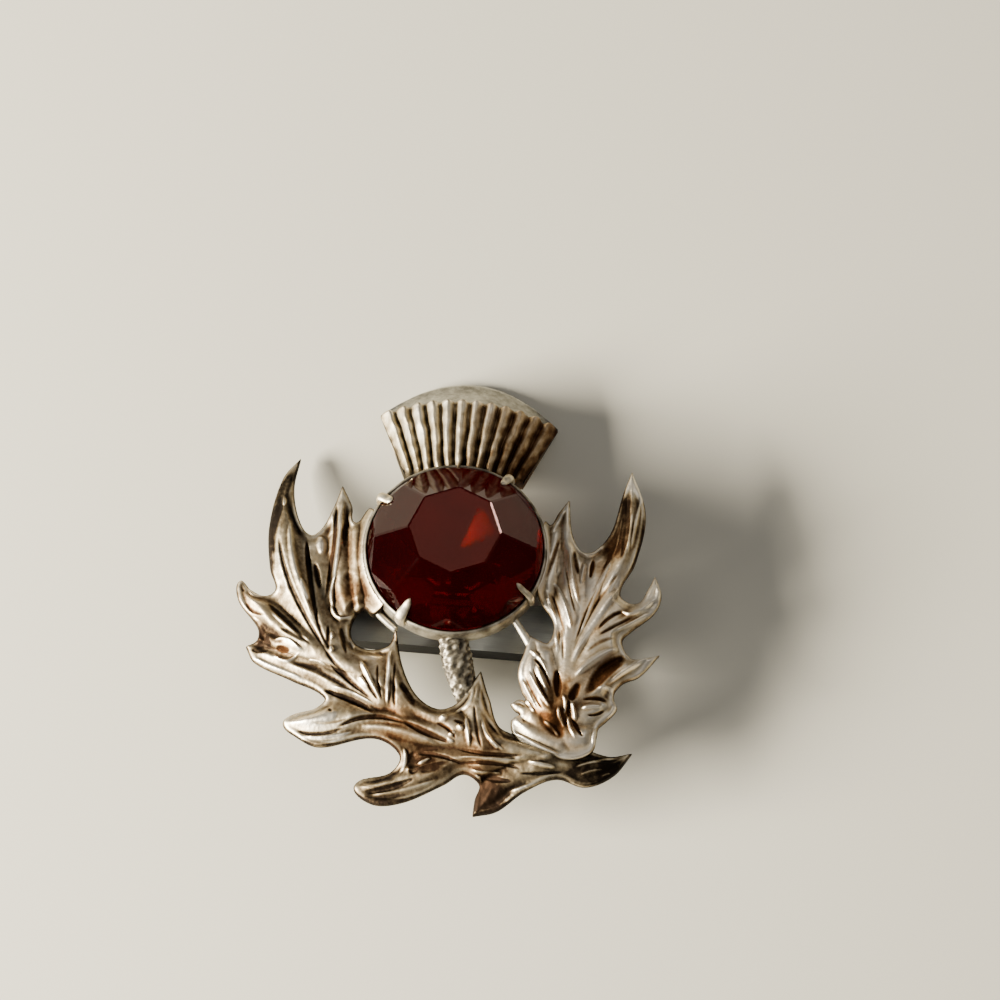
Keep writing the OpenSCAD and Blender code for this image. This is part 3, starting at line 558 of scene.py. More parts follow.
def inside(points, loop):
    """Whether each point lies inside the loop."""
    hit = np.zeros(len(points), bool)
    for a, b in zip(loop, np.roll(loop, -1, axis=0)):
        if a[1] == b[1]:
            continue
        crosses = (a[1] > points[:, 1]) != (b[1] > points[:, 1])
        x = a[0] + (points[:, 1] - a[1]) / (b[1] - a[1]) * (b[0] - a[0])
        hit ^= crosses & (points[:, 0] < x)
    return hit


def edge_distance(points, loop):
    """Distance from each point to the nearest point of the loop."""
    tree = KDTree(len(loop))
    for i, p in enumerate(loop):
        tree.insert((p[0], p[1], 0), i)
    tree.balance()
    return np.array([tree.find((p[0], p[1], 0))[2] for p in points])


def filled(loop, spacing):
    """Triangles inside the loop on an even grid. The first points are the loop's own, in their order."""
    low, high = loop.min(0), loop.max(0)
    rows = []
    for i, y in enumerate(np.arange(low[1], high[1], spacing * math.sqrt(3) / 2)):
        x = np.arange(low[0] + spacing / 2 * (i % 2), high[0], spacing)
        rows.append(np.column_stack([x, np.full(len(x), y)]))
    grid = np.concatenate(rows)
    grid = grid[inside(grid, loop)]
    grid = grid[edge_distance(grid, loop) > spacing * 0.6]
    points = np.concatenate([loop, grid])
    border = list(range(len(loop)))
    made = delaunay_2d_cdt([Vector(p) for p in points], [], [border], 1, 1e-7)
    order = {k: min(sources) for k, sources in enumerate(made[3])}
    triangles = np.array([[order[k] for k in face] for face in made[2]])
    a, b, c = (points[triangles[:, k]] for k in range(3))
    turn = (b[:, 0] - a[:, 0]) * (c[:, 1] - a[:, 1]) - (b[:, 1] - a[:, 1]) * (c[:, 0] - a[:, 0])
    triangles[turn < 0] = triangles[turn < 0][:, ::-1]
    return points, triangles


def as_quads(faces):
    """Faces as rows of four corners. A triangle has its last corner twice."""
    return np.array([f if len(f) == 4 else (*f, f[-1]) for f in faces])


def edge_pairs(faces):
    """Every edge of the faces once, as the numbers of its two points."""
    quads = as_quads(faces)
    pairs = np.concatenate([quads[:, [k, (k + 1) % 4]] for k in range(4)])
    pairs = pairs[pairs[:, 0] != pairs[:, 1]]
    return np.unique(np.sort(pairs, axis=1), axis=0)


def relax(values, pairs, rounds, strength=0.5):
    """Values, one row a point, eased towards their neighbours' mean."""
    v = np.array(values, float)
    count = np.maximum(np.bincount(pairs.ravel(), minlength=len(v)), 1)
    for _ in range(rounds):
        for k in range(v.shape[1]):
            total = (np.bincount(pairs[:, 0], weights=v[pairs[:, 1], k], minlength=len(v))
                     + np.bincount(pairs[:, 1], weights=v[pairs[:, 0], k], minlength=len(v)))
            v[:, k] += strength * (total / count - v[:, k])
    return v


def point_normals(points, faces):
    quads = as_quads(faces)
    cross = np.cross(points[quads[:, 2]] - points[quads[:, 0]], points[quads[:, 3]] - points[quads[:, 1]])
    out = np.zeros_like(points)
    for k in range(4):
        for axis in range(3):
            out[:, axis] += np.bincount(quads[:, k], weights=cross[:, axis], minlength=len(points))
    return out / np.maximum(np.linalg.norm(out, axis=1, keepdims=True), 1e-12)


def cavity(points, pairs, normals, rounds, reach):
    """How deep each point lies under its surroundings, as a part of reach; below zero on a crest."""
    return np.einsum("ij,ij->i", relax(points, pairs, rounds) - points, normals) / reach


def new_piece(name, points_mm, faces, tarnish_and_shade=None, warm=None, smooth=True):
    """Piece with two values a point: tarnish from 0 to 1, which on the leaves and the flower also holds
    painted shade and highlights, and warm from -1 (grey) to 1 (brown).
    """
    mesh = bpy.data.meshes.new(name)
    corners = [tuple(int(i) for i in f) for f in faces]
    mesh.from_pydata([tuple(p) for p in to_world(points_mm)], [], corners)
    for layer_name, values in (("tarnish_and_shade", tarnish_and_shade), ("warm", warm)):
        if values is not None:
            layer = mesh.attributes.new(layer_name, "FLOAT", "POINT")
            layer.data.foreach_set("value", np.asarray(values, np.float32))
    mesh.polygons.foreach_set("use_smooth", [smooth] * len(mesh.polygons))
    mesh.update()
    obj = bpy.data.objects.new(name, mesh)
    bpy.context.scene.collection.objects.link(obj)
    return obj


def lobe_field(x, seen_y, lobes, level):
    """Height of the back, rise of the folds above the edge, and true y of places seen from the camera."""
    steps = np.linspace(0, 1, 11)
    curves = [lobe_curve(row, steps) for row in lobes]
    y = np.array(seen_y)
    for _ in range(3):
        back_sum, weight_sum, folds = np.zeros(len(x)), np.zeros(len(x)), np.zeros(len(x))
        for row, curve in zip(lobes, curves):
            gap, part = near_curve(x, y, curve[:, :2])
            height = np.interp(part, steps, curve[:, 2])
            half = np.interp(part, steps, curve[:, 3]) + 0.15
            weight = 1 / (gap * gap + 0.15) ** 2
            back_sum += height * weight
            weight_sum += weight
            # a lobe's midrib is highest a third of the way along
            rise = row[3] * (0.35 + 0.65 * np.sin(math.pi * np.minimum(1, 0.25 + 0.75 * part)))
            u = np.clip(gap / half, 0, 1)
            folds += (rise * (1 - u * u) ** 2) ** FOLD_BLEND
        back = back_sum / weight_sum
        y = seen_y - SIGHT_SLOPE * (back + SEEN_RISE - level)
    return back, folds ** (1 / FOLD_BLEND), y


def leaf_front(loop, flat, lobes, lines, level, seed):
    """Front of a leaf, with what its back, wall, and tarnish with painted shade and highlights are worked
    out from.
    """
    back, folds, y = lobe_field(flat[:, 0], flat[:, 1], lobes, level)
    edge = np.concatenate([np.zeros(len(loop)), edge_distance(flat[len(loop):], loop)])
    short = 1 - np.clip(edge / EDGE_ROUND, 0, 1)
    top = back + LEAF_EDGE + folds * smoothstep(0, FOLD_START, edge)
    top -= EDGE_ROUND * (1 - np.sqrt(1 - short ** 2))
    rim = np.clip(0.6 + 0.6 * lumps(np.column_stack([flat, back]), 4.0, seed + 2), 0, 1)
    rolled = RIM_RISE * bell(edge, RIM_AT, RIM_WIDTH)
    furrow = FURROW_DEPTH * bell(edge, FURROW_AT, FURROW_WIDTH)
    top += rim * (rolled - furrow)
    seen = flat[:, 1] + SIGHT_SLOPE * (top - back - SEEN_RISE)
    height, tone = line_field(flat[:, 0], seen, lines)
    height = np.where(height < 0, GROOVE_DEPTH, RIDGE_HEIGHT) * np.clip(height, -GROOVE_MOST, RIDGE_MOST)
    top += height * smoothstep(0, 0.35, edge)
    reach = np.hypot(flat[:, 0], y)
    skirt = SKIRT_Z - SKIRT_FALL * (reach - COLLET_R)
    top = np.where(reach < SKIRT_R, np.minimum(top, UNDER_RIM), np.maximum(top, skirt))
    front = np.column_stack([flat[:, 0], y, top])
    front[:, 2] += 0.02 * lumps(front, 1.2, seed) + 0.01 * lumps(front, 0.45, seed + 1)
    return front, back, edge, seen, tone, rim


def leaf_skin(loop, front, front_faces, back, lobes, level):
    """The front with its wall, row by row, and its plain back."""
    count = len(loop)
    tangent = np.roll(loop, -1, axis=0) - np.roll(loop, 1, axis=0)
    tangent /= np.linalg.norm(tangent, axis=1, keepdims=True)
    outward = np.column_stack([tangent[:, 1], -tangent[:, 0]])
    points = [front]
    faces = [tuple(f) for f in front_faces]
    upper = np.arange(count)
    made = len(front)
    for part, out in WALL_ROWS:
        height = back[:count] + (front[:count, 2] - back[:count]) * part
        points.append(np.column_stack([front[:count, :2] + outward * out, height]))
        lower = np.arange(made, made + count)
        made += count
        for i in range(count):
            k = (i + 1) % count
            faces.append((upper[i], lower[i], lower[k], upper[k]))
        upper = lower
    flat, rear_faces = filled(loop, BACK_SPACING)
    rear, _, y = lobe_field(flat[count:, 0], flat[count:, 1], lobes, level)
    points.append(np.column_stack([flat[count:, 0], y, rear]))
    number = np.concatenate([upper, np.arange(made, made + len(rear))])
    faces.extend(tuple(number[k] for k in f[::-1]) for f in rear_faces)
    return np.concatenate(points), faces


def leaf_piece(name, lobes, outline, lines, stains_and_shading, level, base, seed):
    loop = leaf_outline(outline)
    flat, front_faces = filled(loop, FRONT_SPACING)
    front, back, edge, seen, tone, rim = leaf_front(loop, flat, lobes, lines, level, seed)
    points, faces = leaf_skin(loop, front, front_faces, back, lobes, level)
    pairs = edge_pairs(faces)
    points = relax(points, pairs, 2, 0.35)
    normals = point_normals(points, faces)
    count = len(front)
    dark = np.full(count, base)
    for rounds, depth, amount in HOLLOWS:
        dark += amount * np.clip(cavity(points, pairs, normals, rounds, depth)[:count], -1, 1.5)
    # The lines' tarnish, with painted shade in some dark rows, and their wear, which also paints
    # highlights
    dark += np.where(tone > 0, LINE_TARNISH_AND_SHADE, LINE_WEAR_AND_HIGHLIGHT) * tone
    worn = RIM_WEAR * rim * bell(edge, RIM_AT, RIM_WIDTH)
    # Darker along the outline: tarnish and painted shade at the edge; the worn rolled rim is lighter
    dark += EDGE_TARNISH_AND_SHADE * (1 - smoothstep(0.04, 0.24, edge)) - worn
    warm = np.zeros(len(points))
    for x, y, radius, amount, warmth in stains_and_shading:
        spot = bell(np.hypot(flat[:, 0] - x, seen - y), 0, radius)
        dark += amount * spot
        warm[:count] += warmth * spot
    # The back and the wall take one dark value: tarnish on the back, tarnish and painted shade on the wall
    tarnish_and_shade = np.concatenate([dark, np.full(len(points) - count, BACK_TARNISH_AND_SHADE)])
    return new_piece(name, points, faces, np.clip(tarnish_and_shade, 0, 1), np.clip(warm, 0, 1))


# The second number is each leaf's base tarnish. The right leaf's is lower: painted light, which makes it
# as bright as the left leaf although it faces away from the window.
left_leaf = leaf_piece("left_leaf", LEFT_LOBES, LEFT_OUTLINE, LEFT_LINES, LEFT_STAINS_AND_SHADING, LEFT_LEVEL, 0.58, 3)
right_leaf = leaf_piece(
    "right_leaf", RIGHT_LOBES, RIGHT_OUTLINE, RIGHT_LINES, RIGHT_STAINS_AND_SHADING, RIGHT_LEVEL, 0.22, 8)

# Flower: ribs, the scalloped ends of the ribs, and the smooth cap behind them. It is made of columns that
# run from the collet over the face and the cap to the rim.
RIB_COUNT = 12
RIB_STEPS = 18
FACE_STEPS = 40
CAP_STEPS = 24
FLOWER_LOW_HALF, FLOWER_TOP_HALF = 6.2, 9.3
FLOWER_LOW_Y, FLOWER_TOP_Y = 8.9, 16.4
# Height of the flower's corners by the collet, and how far its middle rises there and at the rib ends
FLOWER_LOW_H = 2.2
LOW_RISE = 1.6
FLOWER_RISE = 3.3
CORNER_DROP = 0.8
RIM_BULGE = 3.5
RIM_STEP = 0.1
RIB_CREST = 0.62
SCALLOP = 0.22
# Tarnish of the ribs on their crests, more of it in the grooves and by the collet, less towards the ends
RIB_TONE, GROOVE_TONE, LOW_TONE, END_WEAR = 0.26, 0.42, 0.3, 0.1
# Tarnish of the cap, of its side, and how much less its rim has, which paints a highlight along the rim
CAP_TONE = 0.5
SIDE_TONE = 0.6
RIM_SHINE = 0.25
# How grey the tarnish is on the flower's cap, on the collet and on the stem
CAP_GREY = 0.9
COLLET_GREY = 0.6
STEM_GREY = 0.5


def flower_column(u, s):
    """Points and tarnish of the column at u across the flower, and how far each point is on the cap.

    The value s runs from 0 on the crest of a rib to 1 in the groove beside it.
    """
    round_rib = 0.6 * math.sqrt(1 - (0.97 * s) ** 2) + 0.2 * (1 + math.cos(math.pi * s))
    groove = float(smoothstep(0.4, 1.0, s))
    low_z = BACK_Z + FLOWER_LOW_H + LOW_RISE * (1 - u * u)
    edge_z = BACK_Z + LEAF_EDGE
    top_z = edge_z + FLOWER_RISE * (1 - u * u)
    side_y = FLOWER_TOP_Y - CORNER_DROP * u * u
    top_y = side_y + SCALLOP * (round_rib - 0.5)
    rim_y = side_y + RIM_BULGE * (1 - u * u) + RIM_STEP
    column = [(u * FLOWER_LOW_HALF, FLOWER_LOW_Y, BACK_Z)]
    tone = [SIDE_TONE]
    for k in range(FACE_STEPS + 1):
        v = k / FACE_STEPS
        half = FLOWER_LOW_HALF + (FLOWER_TOP_HALF - FLOWER_LOW_HALF) * v
        crest = RIB_CREST * half / RIB_COUNT * (2.2 * round_rib - 1.1)
        z = low_z + (top_z - low_z) * v + crest + 0.12 * math.sin(math.pi * v)
        column.append((u * half, FLOWER_LOW_Y + (top_y - FLOWER_LOW_Y) * v, z))
        tone.append(RIB_TONE + GROOVE_TONE * groove + LOW_TONE * (1 - v) ** 3 - END_WEAR * v)
    cap = [0.0] * len(column)
    crest = RIB_CREST * FLOWER_TOP_HALF / RIB_COUNT * (2.2 * round_rib - 1.1)
    for k in range(1, CAP_STEPS + 1):
        v = k / CAP_STEPS
        fall = float(smoothstep(0.0, 0.16, v))
        z = top_z + (edge_z - top_z) * v - 0.25 * math.sin(math.pi * v) + crest * (1 - fall) - 0.2 * fall
        column.append((u * FLOWER_TOP_HALF, top_y + (rim_y - top_y) * v, z))
        rib_end = (0.2 + 0.5 * groove) * (1 - fall)
        # less tarnish at the rim: painted highlight
        tone.append(rib_end + CAP_TONE * fall - RIM_SHINE * float(smoothstep(0.9, 1.0, v)))
        cap.append(fall)
    for drop in (0.35, 0.65, 0.9):
        column.append((u * FLOWER_TOP_HALF, rim_y, edge_z - drop))
        tone.append(SIDE_TONE)
        cap.append(1.0)
    return column, tone, cap


def flower_piece():
    columns = RIB_COUNT * RIB_STEPS
    points, tone, cap, rows, faces = [], [], [], [], []
    for i in range(columns + 1):
        s = 1.0 if i in (0, columns) else abs((i / RIB_STEPS) % 1.0 - 0.5) * 2
        column, column_tone, column_cap = flower_column(i / columns * 2 - 1, s)
        rows.append(range(len(points), len(points) + len(column)))
        points.extend(column)
        tone.extend(column_tone)
        cap.extend(column_cap)
    for a, b in zip(rows, rows[1:]):
        for j in range(len(a) - 1):
            faces.append((a[j], b[j], b[j + 1], a[j + 1]))
        faces.append((a[-1], b[-1], b[0], a[0]))
    faces.append(tuple(reversed(rows[0])))
    faces.append(tuple(rows[-1]))
    points = np.array(points)
    ribbed = 1 - np.array(cap)
    above_back = smoothstep(BACK_Z, BACK_Z + 1, points[:, 2])
    points[:, 2] += above_back * (0.03 * lumps(points, 1.4, 21) + 0.012 * lumps(points, 0.5, 22))
    points[:, 0] += above_back * ribbed * 0.07 * lumps(points, 1.9, 24)
    # Random patches of tarnish on the ribs, and more tarnish towards the right: painted shade on the side
    # away from the window. The ribs also turn browner towards the right.
    patches = 0.16 * lumps(points, 1.1, 23)
    tone = np.array(tone) + (patches + 0.3 * smoothstep(-2, 8, points[:, 0])) * ribbed
    warm = smoothstep(-4, 7, points[:, 0]) * ribbed - CAP_GREY * (1 - ribbed)
    return new_piece("flower", points, faces, np.clip(tone, 0, 1), warm)


flower = flower_piece()

# Outline of the collet's wall: radius and height
COLLET_PROFILE = [
    (COLLET_R - 0.2, COLLET_Z),
    (COLLET_R, COLLET_Z + 0.15),
    (COLLET_R, 7.2),
    (COLLET_R - 0.06, 7.7),
    (COLLET_R - 0.15, 8.1),
    (COLLET_R - 0.27, 8.3),
    (SEAT_R + 0.12, 8.36),
    (SEAT_R + 0.03, 8.32),
    (SEAT_R, 8.2),
    (SEAT_R, 7.7),
    (STONE_R - LEDGE_W, 7.6),
    (STONE_R - LEDGE_W, COLLET_Z),
]
COLLET_STEPS = 160


def collet_piece():
    """The wall's outline turned round the stone's axis."""
    count = len(COLLET_PROFILE)
    points, faces = [], []
    for i in range(COLLET_STEPS):
        a = 2 * math.pi * i / COLLET_STEPS
        for r, z in COLLET_PROFILE:
            points.append((r * math.cos(a), r * math.sin(a), z))
        n = (i + 1) % COLLET_STEPS
        for j in range(count):
            k = (j + 1) % count
            faces.append((i * count + j, n * count + j, n * count + k, i * count + k))
    points = np.array(points)
    points[:, 2] += 0.015 * lumps(points, 1.2, 31)
    tone = np.clip(0.5 + 0.15 * lumps(points, 1.6, 32), 0, 1)
    return new_piece("collet", points, faces, tone, np.full(len(points), -COLLET_GREY))


collet = collet_piece()


def rod(path, side=None, sides=16, steps=28, blunt=3.0):
    """Bent round rod. The path's rows are x, y, z, half-width and half-thickness.

    The width lies along side, or level without one. The ends round off over blunt steps each.
    """
    table = np.array(path, float)
    fine = np.linspace(0, 1, steps)
    knots = np.linspace(0, 1, len(table))
    line = np.column_stack([np.interp(fine, knots, table[:, k]) for k in range(5)])
    for _ in range(3):
        line[1:-1] = (line[:-2] + 2 * line[1:-1] + line[2:]) / 4
    points, faces = [], []
    for i in range(steps):
        ahead = line[min(i + 1, steps - 1), :3] - line[max(i - 1, 0), :3]
        ahead /= np.linalg.norm(ahead)
        across = np.cross([0, 0, 1.0], ahead) if side is None else side - ahead * (side @ ahead)
        across /= np.linalg.norm(across)
        up = np.cross(ahead, across)
        size = math.sqrt(min(1.0, (min(i, steps - 1 - i) + 0.2) / blunt))
        for j in range(sides):
            a = 2 * math.pi * j / sides
            wide = across * line[i, 3] * math.cos(a)
            points.append(line[i, :3] + size * (wide + up * line[i, 4] * math.sin(a)))
    for i in range(steps - 1):
        for j in range(sides):
            k = (j + 1) % sides
            faces.append((i * sides + j, i * sides + k, (i + 1) * sides + k, (i + 1) * sides + j))
    faces.append(tuple(range(sides - 1, -1, -1)))
    faces.append(tuple(range((steps - 1) * sides, steps * sides)))
    return np.array(points), faces


def joined(parts):
    """Several skins as one array of points and one list of faces."""
    points, faces, start = [], [], 0
    for part_points, part_faces in parts:
        points.append(part_points)
        faces.extend(tuple(start + i for i in f) for f in part_faces)
        start += len(part_points)
    return np.concatenate(points), faces


# Claws: direction round the stone, half-width at the bend and at the end, reach over the stone's edge
CLAWS = [
    (59, 0.5, 0.3, 0.9),
    (149, 0.52, 0.42, 1.0),
    (239, 0.58, 0.3, 1.3),
    (329, 0.34, 0.28, 1.25),
]
CROWN_SLOPE = CROWN_H / (STONE_R - TABLE_R * math.cos(math.radians(22.5)))


def claw(angle, half, end_half, reach):
    a = math.radians(angle)
    tangent = np.array([-math.sin(a), math.cos(a), 0.0])
    near = reach * 0.45
    rows = []
    for r, z, wide, thick in (
        (COLLET_R, COLLET_Z + 0.3, half, 0.3),
        (COLLET_R + 0.02, GIRDLE_TOP - 0.5, half, 0.32),
        (COLLET_R - 0.02, GIRDLE_TOP + 0.15, half, 0.34),
        (STONE_R + 0.12, GIRDLE_TOP + 0.5, half, 0.3),
        (STONE_R - near, GIRDLE_TOP + 0.25 + near * CROWN_SLOPE, (half + end_half) / 2, 0.24),
        (STONE_R - reach, GIRDLE_TOP + 0.2 + reach * CROWN_SLOPE, end_half, 0.22),
    ):
        rows.append((r * math.cos(a), r * math.sin(a), z, wide, thick))
    return rod(rows, tangent)


def claws_piece():
    points, faces = joined([claw(*row) for row in CLAWS])
    tone = 0.2 + 0.15 * lumps(points, 0.8, 51)
    return new_piece("claws", points, faces, np.clip(tone, 0, 1))


claws = claws_piece()

STEM_SIDES = 56
STEM_STEPS = 110
STEM_ROWS = 9
NODULE_RISE = 0.09
STRUT_TONE = 0.25
POST_TONE = 0.6


def stem_skin():
    """Stem that thins out behind the leaf, with nodules all over it, and its tarnish."""
    rows = []
    along = np.linspace(0, 1, STEM_ROWS)
    for t, (x, y, back, half) in zip(along, lobe_curve(STEM, along)):
        wide = half * (1 + 0.18 * math.sin(math.pi * t) - 0.45 * t ** 3)
        rows.append((x, y, back + 0.75 - 0.65 * t ** 3, wide, 0.95 - 0.45 * t ** 3))
    points, faces = rod(rows, sides=STEM_SIDES, steps=STEM_STEPS, blunt=9)
    nodules = np.clip(lumps(points, 0.6, 41) + 0.4 * lumps(points, 0.32, 42), -1, 1)
    ring = np.arange(len(points)) // STEM_SIDES
    knots = np.linspace(0, STEM_STEPS - 1, STEM_ROWS)
    middle = np.column_stack([np.interp(ring, knots, np.array(rows)[:, k]) for k in range(3)])
    away = points - middle
    away /= np.maximum(np.linalg.norm(away, axis=1, keepdims=True), 1e-6)
    return points + away * (NODULE_RISE * nodules)[:, None], faces, 0.66 - 0.25 * nodules


def stem_piece():
    """Stem, the two short struts beside it, and the posts that carry the bar."""
    points, faces, stem_tone = stem_skin()
    parts = [(points, faces)]
    tone = [stem_tone]
    for row in STRUTS:
        line = lobe_curve(row, np.linspace(0, 1, 5))
        path = [(x, y, back + 0.5, half * 0.75, 0.42) for x, y, back, half in line]
        parts.append(rod(path, blunt=1.0))
        tone.append(np.full(len(parts[-1][0]), STRUT_TONE))
    for x, top in POSTS:
        path = [(x, POST_Y, z, POST_R, POST_R) for z in (POST_LOW, top)]
        parts.append(rod(path, np.array([1.0, 0.0, 0.0]), sides=32, steps=6, blunt=0.2))
        tone.append(np.full(len(parts[-1][0]), POST_TONE))
    points, faces = joined(parts)
    tone = np.clip(np.concatenate(tone), 0, 1)
    return new_piece("stem", points, faces, tone, np.full(len(points), -STEM_GREY))


stem = stem_piece()

# Stone: sides of its table and of its girdle, where the main facets end, and the width of their worn edges
TABLE_SIDES = 8
GIRDLE_SIDES = 96
BREAK_PART = 0.92
WORN_EDGE = 0.13
STONE_INDEX = 1.5


def stone_piece():
    """Crown of eight main facets with narrow worn edges, small facets, a girdle and a pavilion."""
    bm = bmesh.new()
    half_side = math.pi / TABLE_SIDES

    def ring(r, z, count, turn=0.0):
        for i in range(count):
            a = 2 * math.pi * i / count + turn
            bm.verts.new((r * math.cos(a), r * math.sin(a), z))

    break_r = STONE_R * BREAK_PART
    break_z = GIRDLE_TOP + (STONE_R - break_r * math.cos(half_side)) * CROWN_SLOPE
    ring(TABLE_R, GIRDLE_TOP + CROWN_H, TABLE_SIDES)
    ring(break_r, break_z, TABLE_SIDES)
    ring(STONE_R - 0.04, GIRDLE_TOP, GIRDLE_SIDES)
    ring(STONE_R - 0.04, GIRDLE_Z, GIRDLE_SIDES)
    ring(STONE_R * 0.55, GIRDLE_Z - PAVILION_H * 0.5, TABLE_SIDES, half_side)
    ring(0.6, GIRDLE_Z - PAVILION_H * 0.92, TABLE_SIDES)
    hull = bmesh.ops.convex_hull(bm, input=bm.verts)
    spare = [g for g in hull["geom_interior"] + hull["geom_unused"] if isinstance(g, bmesh.types.BMVert)]
    bmesh.ops.delete(bm, geom=list(set(spare)), context="VERTS")
    bmesh.ops.dissolve_limit(bm, angle_limit=math.radians(0.6), verts=bm.verts, edges=bm.edges)
    crown_edges = []
    for edge in bm.edges:
        on_crown = min(v.co.z for v in edge.verts) > GIRDLE_TOP + 0.05
        if on_crown and edge.calc_face_angle(0) > math.radians(12):
            crown_edges.append(edge)
    bmesh.ops.bevel(bm, geom=crown_edges, offset=WORN_EDGE, segments=1, affect="EDGES", clamp_overlap=True)
    bm.verts.index_update()
    points = np.array([v.co[:] for v in bm.verts])
    faces = [tuple(v.index for v in f.verts) for f in bm.faces]
    bm.free()
    return new_piece("garnet", points, faces, smooth=False)


garnet = stone_piece()
METAL_PIECES = (left_leaf, right_leaf, flower, collet, claws, stem)

for piece in METAL_PIECES:
    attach(piece, "root")
    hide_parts("thistle_casting")
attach(garnet, "root")
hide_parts("stone")


def new_material(name):
    m = bpy.data.materials.new(name)
    m.use_nodes = True
    m.node_tree.nodes.clear()
    out = m.node_tree.nodes.new("ShaderNodeOutputMaterial")
    shader = m.node_tree.nodes.new("ShaderNodeBsdfPrincipled")
    m.node_tree.links.new(shader.outputs[0], out.inputs[0])
    return m, shader


class Graph:
    """Short names for the nodes of one material."""

    def __init__(self, material):
        self.nodes = material.node_tree.nodes
        self.links = material.node_tree.links
        self.place = self.nodes.new("ShaderNodeTexCoord").outputs["Object"]

    def noise(self, scale, detail=4.0, rough=0.6):
        n = self.nodes.new("ShaderNodeTexNoise")
        n.inputs["Scale"].default_value = scale
        n.inputs["Detail"].default_value = detail
        n.inputs["Roughness"].default_value = rough
        self.links.new(self.place, n.inputs["Vector"])
        return n.outputs["Fac"]

    def ramp(self, source, stops):
        n = self.nodes.new("ShaderNodeValToRGB")
        elements = n.color_ramp.elements
        while len(elements) < len(stops):
            elements.new(0.5)
        for element, (at, colour) in zip(elements, stops):
            element.position = at
            element.color = (*colour, 1)
        self.links.new(source, n.inputs["Fac"])
        return n.outputs["Color"]

    def grey_ramp(self, source, stops):
        return self.ramp(source, [(at, (value, value, value)) for at, value in stops])

    def math(self, kind, a, b, clamp=False):
        n = self.nodes.new("ShaderNodeMath")
        n.operation = kind
        n.use_clamp = clamp
        for socket, value in zip(n.inputs, (a, b)):
            if isinstance(value, (int, float)):
                socket.default_value = value
            else:
                self.links.new(value, socket)
        return n.outputs[0]

    def spread(self, source, middle, gain):
        return self.math("MULTIPLY", self.math("SUBTRACT", source, middle), gain)

    def mix(self, part, first, second):
        n = self.nodes.new("ShaderNodeMix")
        n.data_type = "RGBA"
        self.links.new(part, n.inputs["Factor"])
        self.links.new(first, n.inputs[6])
        self.links.new(second, n.inputs[7])
        return n.outputs[2]

    def attribute(self, name):
        n = self.nodes.new("ShaderNodeAttribute")
        n.attribute_name = name
        return n.outputs["Fac"]

    def bump(self, height, distance, strength=1.0, below=None):
        n = self.nodes.new("ShaderNodeBump")
        n.inputs["Distance"].default_value = distance
        n.inputs["Strength"].default_value = strength
        self.links.new(height, n.inputs["Height"])
        if below is not None:
            self.links.new(below, n.inputs["Normal"])
        return n.outputs["Normal"]


# Colours of the silver from clean to black: amount of tarnish, with the painted shade and highlights it
# holds, and colour
OLIVE = [
    (0.0, (0.88, 0.80, 0.65)),
    (0.22, (0.74, 0.645, 0.46)),
    (0.42, (0.50, 0.41, 0.26)),
    (0.66, (0.20, 0.152, 0.088)),
    (0.9, (0.05, 0.037, 0.021)),
    (1.0, (0.013, 0.01, 0.007)),
]
BROWN = [
    (0.0, (0.88, 0.76, 0.59)),
    (0.22, (0.75, 0.59, 0.395)),
    (0.42, (0.52, 0.375, 0.22)),
    (0.66, (0.24, 0.135, 0.058)),
    (0.9, (0.09, 0.036, 0.012)),
    (1.0, (0.05, 0.02, 0.007)),
]
GREY = [
    (0.0, (0.82, 0.80, 0.74)),
    (0.22, (0.67, 0.65, 0.57)),
    (0.42, (0.42, 0.405, 0.345)),
    (0.66, (0.17, 0.16, 0.13)),
    (1.0, (0.045, 0.04, 0.032)),
]


def silver():
    m, shader = new_material("tarnished_silver")
    g = Graph(m)
    fine = g.spread(g.noise(1500, 5, 0.65), 0.5, 0.6)
    patches = g.spread(g.noise(260, 3, 0.5), 0.5, 0.5)
    tarnish_and_shade = g.math("ADD", g.attribute("tarnish_and_shade"), g.math("ADD", fine, patches), clamp=True)
    warm = g.attribute("warm")
    colour = g.mix(warm, g.ramp(tarnish_and_shade, OLIVE), g.ramp(tarnish_and_shade, BROWN))
    colour = g.mix(g.math("MULTIPLY", warm, -1.0, clamp=True), colour, g.ramp(tarnish_and_shade, GREY))
    g.links.new(colour, shader.inputs["Base Color"])
    shader.inputs["Metallic"].default_value = 1.0
    g.links.new(g.grey_ramp(tarnish_and_shade, [(0.0, 0.4), (0.4, 0.46), (1.0, 0.62)]), shader.inputs["Roughness"])
    rough_skin = g.bump(g.noise(3800, 4, 0.6), 0.00002, 0.6)
    g.links.new(g.bump(g.noise(1000, 3, 0.5), 0.00007, 0.6, rough_skin), shader.inputs["Normal"])
    return m


def garnet_glass():
    m, shader = new_material("garnet_glass")
    g = Graph(m)
    depth = g.ramp(g.noise(180, 2, 0.5), [(0.3, (0.03, 0.0005, 0.0008)), (0.7, (0.055, 0.0009, 0.0015))])
    g.links.new(depth, shader.inputs["Base Color"])
    shader.inputs["Transmission Weight"].default_value = 0.7
    shader.inputs["Specular IOR Level"].default_value = 0.0
    shader.inputs["IOR"].default_value = STONE_INDEX
    shader.inputs["Specular Tint"].default_value = (0.25, 0.1, 0.08, 1)
    shader.inputs["Roughness"].default_value = 0.02
    g.links.new(g.bump(g.noise(2600, 3, 0.5), 0.0000004, 0.3), shader.inputs["Normal"])
    return m


